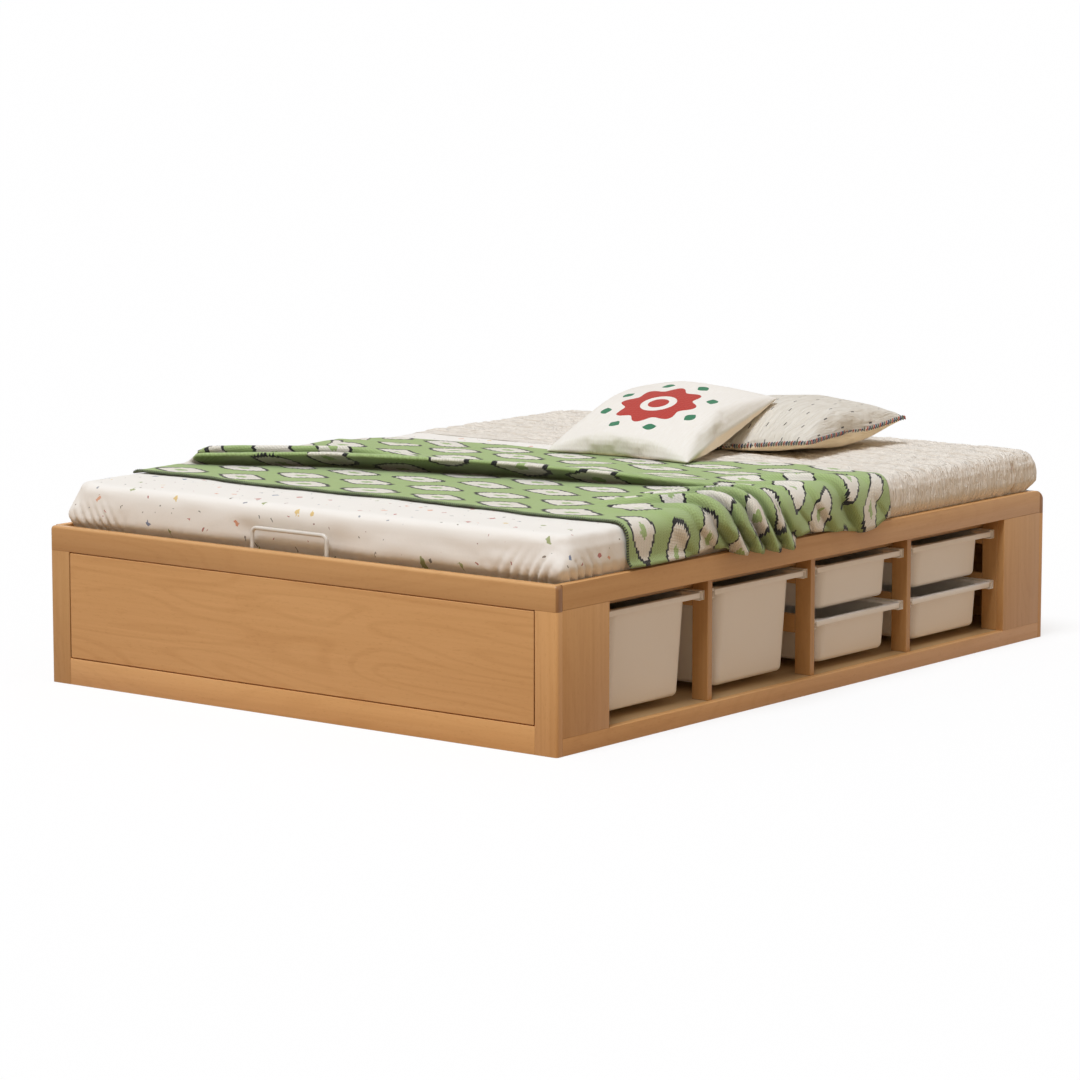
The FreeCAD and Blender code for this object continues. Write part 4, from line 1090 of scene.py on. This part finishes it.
def throw_surface():
    """Points of the spread throw: rows from the left edge to the hem, each from the foot to the head edge.

    The cloth lies on the mattress from its left edge, over the right edge and down to a hem. A rolled fold
    crosses it slantwise and opens into pleats where the cloth goes over the right edge."""
    turn = THROW_TURN
    left_x, edge_x = MATTRESS_LOW.x + 0.018, MATTRESS_HIGH.x - 0.018
    left = left_x - 0.022
    top = MATTRESS_HIGH.z + THROW_CLEAR
    quarter = turn * math.pi / 2
    side = top - turn - (RAIL_HIGH.z + 0.003)
    span = edge_x - left
    a = np.linspace(0, span + quarter + side, THROW_ROWS)
    x = left + a
    line = through(FOLD_LINE, x) + 0.014 * np.array([noise.noise(Vector((v * 5, 1, 0))) for v in x])
    # More points where the cloth bends sharply, along the rolled fold
    reach = np.linspace(THROW_FOOT, THROW_HEAD, 800)
    y = np.empty((THROW_ROWS, THROW_COLUMNS))
    for i in range(THROW_ROWS):
        share = np.cumsum(1 + 4 * bell(reach - line[i], 0.04) * smooth(edge_x, edge_x - 0.1, x[i]))
        y[i] = np.interp(np.linspace(share[0], share[-1], THROW_COLUMNS), share, reach)
    a, x, line = (np.repeat(v, THROW_COLUMNS) for v in (a, x, line))
    y = y.ravel()
    past = a - span
    bend = np.clip(past / turn, 0, math.pi / 2) - np.clip((left_x - x) / turn, 0, math.pi / 2)
    hang = smooth(0.0, quarter + 0.03, past)
    away = y - line
    fold = through(FOLD_HEIGHT, x)
    roll = crest(away, 0.027, 0.085)
    second = crest(away - 0.115, 0.024, 0.06) * smooth(-0.2, -0.45, x)
    height = fold * roll + 0.032 * second
    lean = 0.094 * roll * fold / 0.04 + 0.05 * second
    # Soft unevenness, except under the cushion and the pillow
    flat = np.c_[x, y, y * 0]
    clear = smooth(0.15, 0.03, y)
    height = height + 0.0035 * (1 + ripple(flat, 0.13, 21)) * smooth(0.02, 0.2, away) * clear
    height = height + 0.0012 * (1 + ripple(flat, 0.05, 27)) * clear
    # Pleats run down and towards the head: a short steep rise to each crest and a long slope behind it
    run = y - np.where(past < quarter, 0.5, 0.95) * (past - quarter) - 0.035
    rise = y * 0
    for place, size, slope in PLEATS:
        rise = np.maximum(rise, size * crest(run - place, PLEAT_FRONT, slope))
    rise = rise * smooth(-0.3, 0.02, past)
    height = height + rise * (0.75 + 0.35 * hang)
    lean = lean + 0.35 * rise
    # At its flares the hem hangs in front of the rail, and beside them it sits on the rail or above it
    fall = np.clip(past - quarter, 0, None) * (side + 0.003 - through(HEM, y)) / side
    normal = np.c_[np.sin(bend), bend * 0, np.cos(bend)]
    base = np.c_[np.clip(x, left_x, edge_x) + turn * np.sin(bend), y, top - turn + turn * np.cos(bend) - fall]
    points = base + normal * height[:, None]
    points[:, 1] -= lean
    # Below the rail's top the cloth hangs outside the rail
    beside = np.clip(RAIL_HIGH.x + 0.003 - points[:, 0], 0, None)
    points[:, 0] += beside * smooth(RAIL_HIGH.z + 0.025, RAIL_HIGH.z, points[:, 2]) * (past > 0)
    # The foot edge waves, and the head edge runs askew
    toe = smooth(THROW_FOOT + 0.1, THROW_FOOT, y)
    points[:, 1] += (0.009 * np.sin(x * 8 + 0.5) + 0.005 * np.sin(x * 21)) * toe
    points[:, 1] += through(HEAD_EDGE, x) * smooth(-0.05, THROW_HEAD, y)
    return points.reshape(THROW_ROWS, THROW_COLUMNS, 3)


class BED_OT_throw(bpy.types.Operator):
    """Makes the knitted throw with its rolled fold, its pleats and its stitched edge"""

    bl_idname = "bed.throw"
    bl_label = "Throw"

    def execute(self, context):
        fabrics = context.scene.bed_fabrics
        grid = throw_surface()
        rows, columns = grid.shape[:2]
        steps = np.linalg.norm(np.diff(grid, axis=1), axis=2)
        up = np.c_[np.zeros(rows), np.cumsum(steps, axis=1)]
        steps = np.linalg.norm(np.diff(grid, axis=0), axis=2)
        along = np.r_[np.zeros((1, columns)), np.cumsum(steps, axis=0)]
        faces = quads_of(np.arange(rows * columns).reshape(rows, columns))
        piece = mesh_piece("knitted_throw", grid.reshape(-1, 3), faces, np.c_[along.ravel(), up.ravel()])
        only(piece)
        bpy.ops.object.shade_smooth()
        n = normals_of(piece).reshape(rows, columns, 3)
        thicken(piece, "Knit", fabrics.throw_thickness, offset=1)
        dressed(piece, knitted_cotton("Jacquard knit", fabrics), "knitted_throw", "deck", "throw_blanket")
        # Black yarn over the foot edge and the left edge
        above = np.concatenate([n[::-1, 0], n[0, :]])
        rim = np.concatenate([grid[::-1, 0], grid[0, :]]) + above * fabrics.throw_thickness / 2
        inner = unit(np.concatenate([grid[::-1, 1] - grid[::-1, 0], grid[1, :] - grid[0, :]]))
        edging = whip_stitches("throw_edging", rim, inner, above, pitch=0.006, reach=0.004, radius=0.0014)
        dressed(edging, wool_yarn("Black edging yarn", fabrics.knit_black), "knitted_throw", "deck")
        return {"FINISHED"}


# Pillows, with sizes in metres

START_RISE, QUICK_LIFT = 0.004, 14
CLOTH_FRAMES = 26
CLOTH = {
    "quality": 7, "mass": 0.25, "tension_stiffness": 22, "compression_stiffness": 22, "shear_stiffness": 8,
    "bending_stiffness": 0.25, "air_damping": 3, "use_pressure": True,
}
SEAM_YARNS = (("Coral seam yarn", "#b0563f"), ("Navy seam yarn", "#3a4560"), ("Sage seam yarn", "#5d6b55"))


def sewn_pillow(name, side, cell, pressure):
    """Two square panels sewn round the edge and blown up by cloth simulation, level round the origin.

    Returns the piece, the point numbers round its seam and those of the upper panel a little inside it."""
    count = int(side / cell) + 1
    line = np.linspace(-side / 2, side / 2, count)
    u, v = np.meshgrid(line, line, indexing="ij")
    shape = np.cos(u / side * math.pi) * np.cos(v / side * math.pi)
    top = np.c_[u.ravel(), v.ravel(), START_RISE * shape.ravel()]
    index = np.arange(count * count).reshape(count, count)
    inner = np.zeros((count, count), bool)
    inner[1:-1, 1:-1] = True
    below = index.copy()
    below[inner] = count * count + np.arange(inner.sum())
    points = np.r_[top, top[inner.ravel()] * np.array([1, 1, -1])]
    faces = np.r_[quads_of(index), quads_of(below)[:, ::-1]]
    piece = mesh_piece(name, points, faces, points[:, :2])
    set_values(piece, "panel", np.arange(len(points)) < count * count)
    blow_up(piece, pressure)
    rim = np.r_[index[:, 0], index[-1, 1:], index[-2::-1, -1], index[0, -2:0:-1]]
    inside = index[np.clip(rim // count, 2, count - 3), np.clip(rim % count, 2, count - 3)]
    return piece, rim, inside


def blow_up(piece, pressure):
    """Runs Blender's cloth on a sewn piece with air inside it and no weight, and keeps its last shape."""
    scene = bpy.context.scene
    only(piece)
    cloth = piece.modifiers.new("Filling", "CLOTH")
    for key, value in CLOTH.items():
        setattr(cloth.settings, key, value)
    cloth.settings.uniform_pressure_force = pressure
    cloth.settings.effector_weights.gravity = 0
    cloth.point_cache.frame_start = 1
    cloth.point_cache.frame_end = CLOTH_FRAMES
    for step in range(1, CLOTH_FRAMES + 1):
        scene.frame_set(step)
    bpy.ops.object.modifier_apply(modifier=cloth.name)
    scene.frame_set(1)


def placed(piece, side, thickness, under, lean, turn, centre, floor):
    """Scales a pillow to its size, with a share of its thickness under the seam, tilts, turns and lays it."""
    co = points_of(piece)
    up, down = co[:, 2].max(), -co[:, 2].min()
    co[:, :2] *= side / np.ptp(co[:, :2], axis=0)
    co[:, 2] *= np.where(co[:, 2] > 0, thickness * (1 - under) / up, thickness * under / down)
    turned = Matrix.Rotation(math.radians(turn), 3, "Z") @ Matrix.Rotation(math.radians(lean), 3, "X")
    co = co @ np.array(turned).T + np.array(centre)
    co[:, 2] = np.maximum(co[:, 2], floor)
    set_points(piece, co)


def press_under(piece, other):
    """Pushes a soft piece down where it would come up into the one that lies on it."""
    gap = 0.002
    faces = [tuple(face.vertices) for face in other.data.polygons]
    above = BVHTree.FromPolygons(points_of(other).tolist(), faces)
    co = points_of(piece)
    for i, point in enumerate(co):
        hit = above.ray_cast(Vector((point[0], point[1], 0)), Vector((0, 0, 1)))[0]
        if hit is not None:
            co[i, 2] = min(point[2], hit.z - gap)
    set_points(piece, co)


def finer(piece):
    """One subdivision, applied, with smooth shading."""
    rounder = piece.modifiers.new("Finer", "SUBSURF")
    rounder.levels = rounder.render_levels = 1
    apply_modifiers(piece)
    bpy.ops.object.shade_smooth()


class BED_OT_cushion(bpy.types.Operator):
    """Makes the linen front cushion with its tufted rosette"""

    bl_idname = "bed.cushion"
    bl_label = "Front cushion"

    def execute(self, context):
        fabrics = context.scene.bed_fabrics
        piece = sewn_pillow("tufted_cushion", side=0.5, cell=0.009, pressure=1.9)[0]
        floor = MATTRESS_HIGH.z + THROW_CLEAR + fabrics.throw_thickness
        placed(piece, side=0.44, thickness=0.11, under=0.46, lean=16.7, turn=2.3,
               centre=(0.037, 0.369, floor + 0.066), floor=floor + 0.001)
        finer(piece)
        dressed(piece, tufted_linen("Tufted linen", fabrics), "tufted_linen", "deck", "front_cushion")
        return {"FINISHED"}


class BED_OT_pillow(bpy.types.Operator):
    """Makes the crinkled back pillow with its whip-stitched seam"""

    bl_idname = "bed.pillow"
    bl_label = "Back pillow"

    def execute(self, context):
        fabrics = context.scene.bed_fabrics
        piece, rim, inside = sewn_pillow("crinkled_pillow", side=0.52, cell=0.0088, pressure=2.1)
        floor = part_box("back_pillow")[0].z
        placed(piece, side=0.455, thickness=0.126, under=0.385, lean=0, turn=0,
               centre=(0.22, 0.655, floor + 0.0485), floor=floor)
        # The front edge is pressed down to the bed by the cushion, and the far corner on the right curls up
        co = points_of(piece)
        pressed = bell(co[:, 0] - 0.12, 0.24) * bell(co[:, 1] - 0.43, 0.1)
        co[:, 2] = floor + (co[:, 2] - floor) * (1 - 0.85 * pressed)
        co[:, 2] += 0.018 * bell(np.hypot(co[:, 0] - 0.44, co[:, 1] - 0.88), 0.1)
        set_points(piece, co)
        press_under(piece, bpy.data.objects["tufted_cushion"])
        co = points_of(piece)
        edge = co[np.r_[rim, rim[:1]]]
        inward = unit(co[np.r_[inside, inside[:1]]] - edge)
        above = unit(np.array([0, 0, 1]) - inward * inward[:, 2:])
        finer(piece)
        dressed(piece, crinkled_cotton("Double gauze", fabrics), "crinkled_cotton", "deck", "back_pillow")
        stitches = whip_stitches("pillow_stitching", edge, inward, above,
                                 pitch=0.0085, reach=0.007, radius=0.0019)
        yarns = [wool_yarn(label, linear(code)) for label, code in SEAM_YARNS]
        dressed(stitches, yarns[0], "crinkled_cotton", "deck")
        for yarn in yarns[1:]:
            stitches.data.materials.append(yarn)
        faces_each = STITCH_SIDES * (STITCH_RINGS - 1) + 2
        for face in stitches.data.polygons:
            face.material_index = (face.index // faces_each) % len(yarns)
        return {"FINISHED"}


# Stage

def seen_directly(add):
    """1 for what the camera, a mirror or glass shows of a surface, 0 for the light it gives off."""
    path = add("LightPath")
    seen = path.outputs["Is Camera Ray"]
    for ray in ("Is Glossy Ray", "Is Transmission Ray"):
        seen = add("Math.MAXIMUM", [seen, path.outputs[ray]])
    return seen


def set_world(scene, strength):
    """A soft dome of light, warm round the sides and neutral overhead, that shows as plain white."""
    world = bpy.data.worlds.new("Studio")
    world.use_nodes = True
    scene.world = world
    add = partial(add_node, world.node_tree)
    seen = seen_directly(add)
    level = add("MapRange", {"Value": seen, "To Min": strength, "To Max": 1.0})
    height = add("SeparateXYZ", {"Vector": add("TexCoord").outputs["Generated"]}).outputs["Z"]
    height = add("MapRange", {"Value": height, "From Min": 0.25, "From Max": 0.95},
                 interpolation_type="SMOOTHSTEP")
    sides, overhead, white = (1.0, 0.77, 0.51), (1.0, 0.95, 0.9), (1, 1, 1)
    dome = add("Mix", {"Factor": height, A: sides, B: overhead}, data_type="RGBA")
    colour = add("Mix", {"Factor": seen, A: dome, B: white}, data_type="RGBA")
    fill(world.node_tree.nodes["Background"], {"Strength": level, "Color": colour})


def set_floor():
    """A wide pale floor that keeps the bed's shadow and throws little light back."""
    bpy.ops.mesh.primitive_plane_add(size=400, location=(0, 0, -0.0005))
    floor = bpy.context.object
    floor.name = "studio_floor"
    material = bpy.data.materials.new("Studio floor")
    material.use_nodes = True
    material.node_tree.nodes.clear()
    add = partial(add_node, material.node_tree)
    seen = seen_directly(add)
    thrown_back, shown = (0.42, 0.29, 0.18), (0.98, 0.98, 0.98)
    colour = add("Mix", {"Factor": seen, A: thrown_back, B: shown}, data_type="RGBA")
    matt = add("BsdfDiffuse", {"Color": colour})
    glow = add("Emission", {"Color": (1, 1, 1), "Strength": 1.0})
    share = add("Math.MULTIPLY", [seen, 0.75])
    mixed = add("MixShader", [share, matt, glow])
    add("OutputMaterial", {"Surface": mixed})
    floor.data.materials.append(material)


def set_sun(towards, colour, strength, softness):
    """A soft sun that shines from the given direction; softness is its width in degrees."""
    bpy.ops.object.light_add(type="SUN")
    sun = bpy.context.object
    sun.name = "key_light"
    sun.data.energy = strength
    sun.data.color = colour
    sun.data.angle = math.radians(softness)
    sun.rotation_mode = "QUATERNION"
    sun.rotation_quaternion = Vector(towards).to_track_quat("Z", "Y")


def set_camera(scene, place, azimuth, pitch, lens):
    """The camera at the photograph's place, turned by azimuth and down by pitch, in degrees."""
    bpy.ops.object.camera_add(location=place)
    camera = bpy.context.object
    camera.name = "photo_camera"
    camera.data.lens = lens
    camera.data.sensor_width = 36
    camera.data.clip_end = 500
    a, e = math.radians(azimuth), math.radians(pitch)
    back = Vector((math.sin(a) * math.cos(e), -math.cos(a) * math.cos(e), math.sin(e)))
    camera.rotation_mode = "QUATERNION"
    camera.rotation_quaternion = (-back).to_track_quat("-Z", "Y")
    scene.camera = camera


class BED_OT_stage(bpy.types.Operator):
    """Sets the floor, the light and the camera"""

    bl_idname = "bed.stage"
    bl_label = "Stage"

    def execute(self, context):
        scene = context.scene
        scene.view_settings.view_transform = "Standard"
        set_world(scene, strength=0.40)
        set_floor()
        set_sun(towards=(0.05, -0.29, 0.66), colour=(0.92, 0.98, 1.07), strength=2.3, softness=24)
        set_camera(scene, place=(6.282, -8.128, 1.791), azimuth=38.02, pitch=8.25, lens=137.6)
        return {"FINISHED"}


class BED_PT_panel(bpy.types.Panel):
    """Lists the bed's pieces"""

    bl_label = "Storage bed"
    bl_idname = "BED_PT_panel"
    bl_space_type = "VIEW_3D"
    bl_region_type = "UI"
    bl_category = "Bed"

    def draw(self, context):
        for maker in MAKERS:
            self.layout.operator(maker.bl_idname)


MAKERS = (
    BED_OT_boards, BED_OT_inner_timber, BED_OT_bins, BED_OT_metalwork, BED_OT_mattress, BED_OT_pad,
    BED_OT_throw, BED_OT_cushion, BED_OT_pillow, BED_OT_stage,
)
SETTINGS = {"bed_woods": BedWoods, "bed_fittings": BedFittings, "bed_fabrics": BedFabrics}


def register():
    for name, group in SETTINGS.items():
        bpy.utils.register_class(group)
        setattr(bpy.types.Scene, name, bpy.props.PointerProperty(type=group))
    for maker in MAKERS:
        bpy.utils.register_class(maker)
    bpy.utils.register_class(BED_PT_panel)


def unregister():
    bpy.utils.unregister_class(BED_PT_panel)
    for maker in reversed(MAKERS):
        bpy.utils.unregister_class(maker)
    for name, group in SETTINGS.items():
        delattr(bpy.types.Scene, name)
        bpy.utils.unregister_class(group)


def main():
    register()
    bpy.ops.bed.boards()
    bpy.ops.bed.inner_timber()
    bpy.ops.bed.bins()
    bpy.ops.bed.metalwork()
    bpy.ops.bed.mattress()
    bpy.ops.bed.pad()
    bpy.ops.bed.throw()
    bpy.ops.bed.cushion()
    bpy.ops.bed.pillow()
    bpy.ops.bed.stage()


if __name__ == "__main__":
    main()
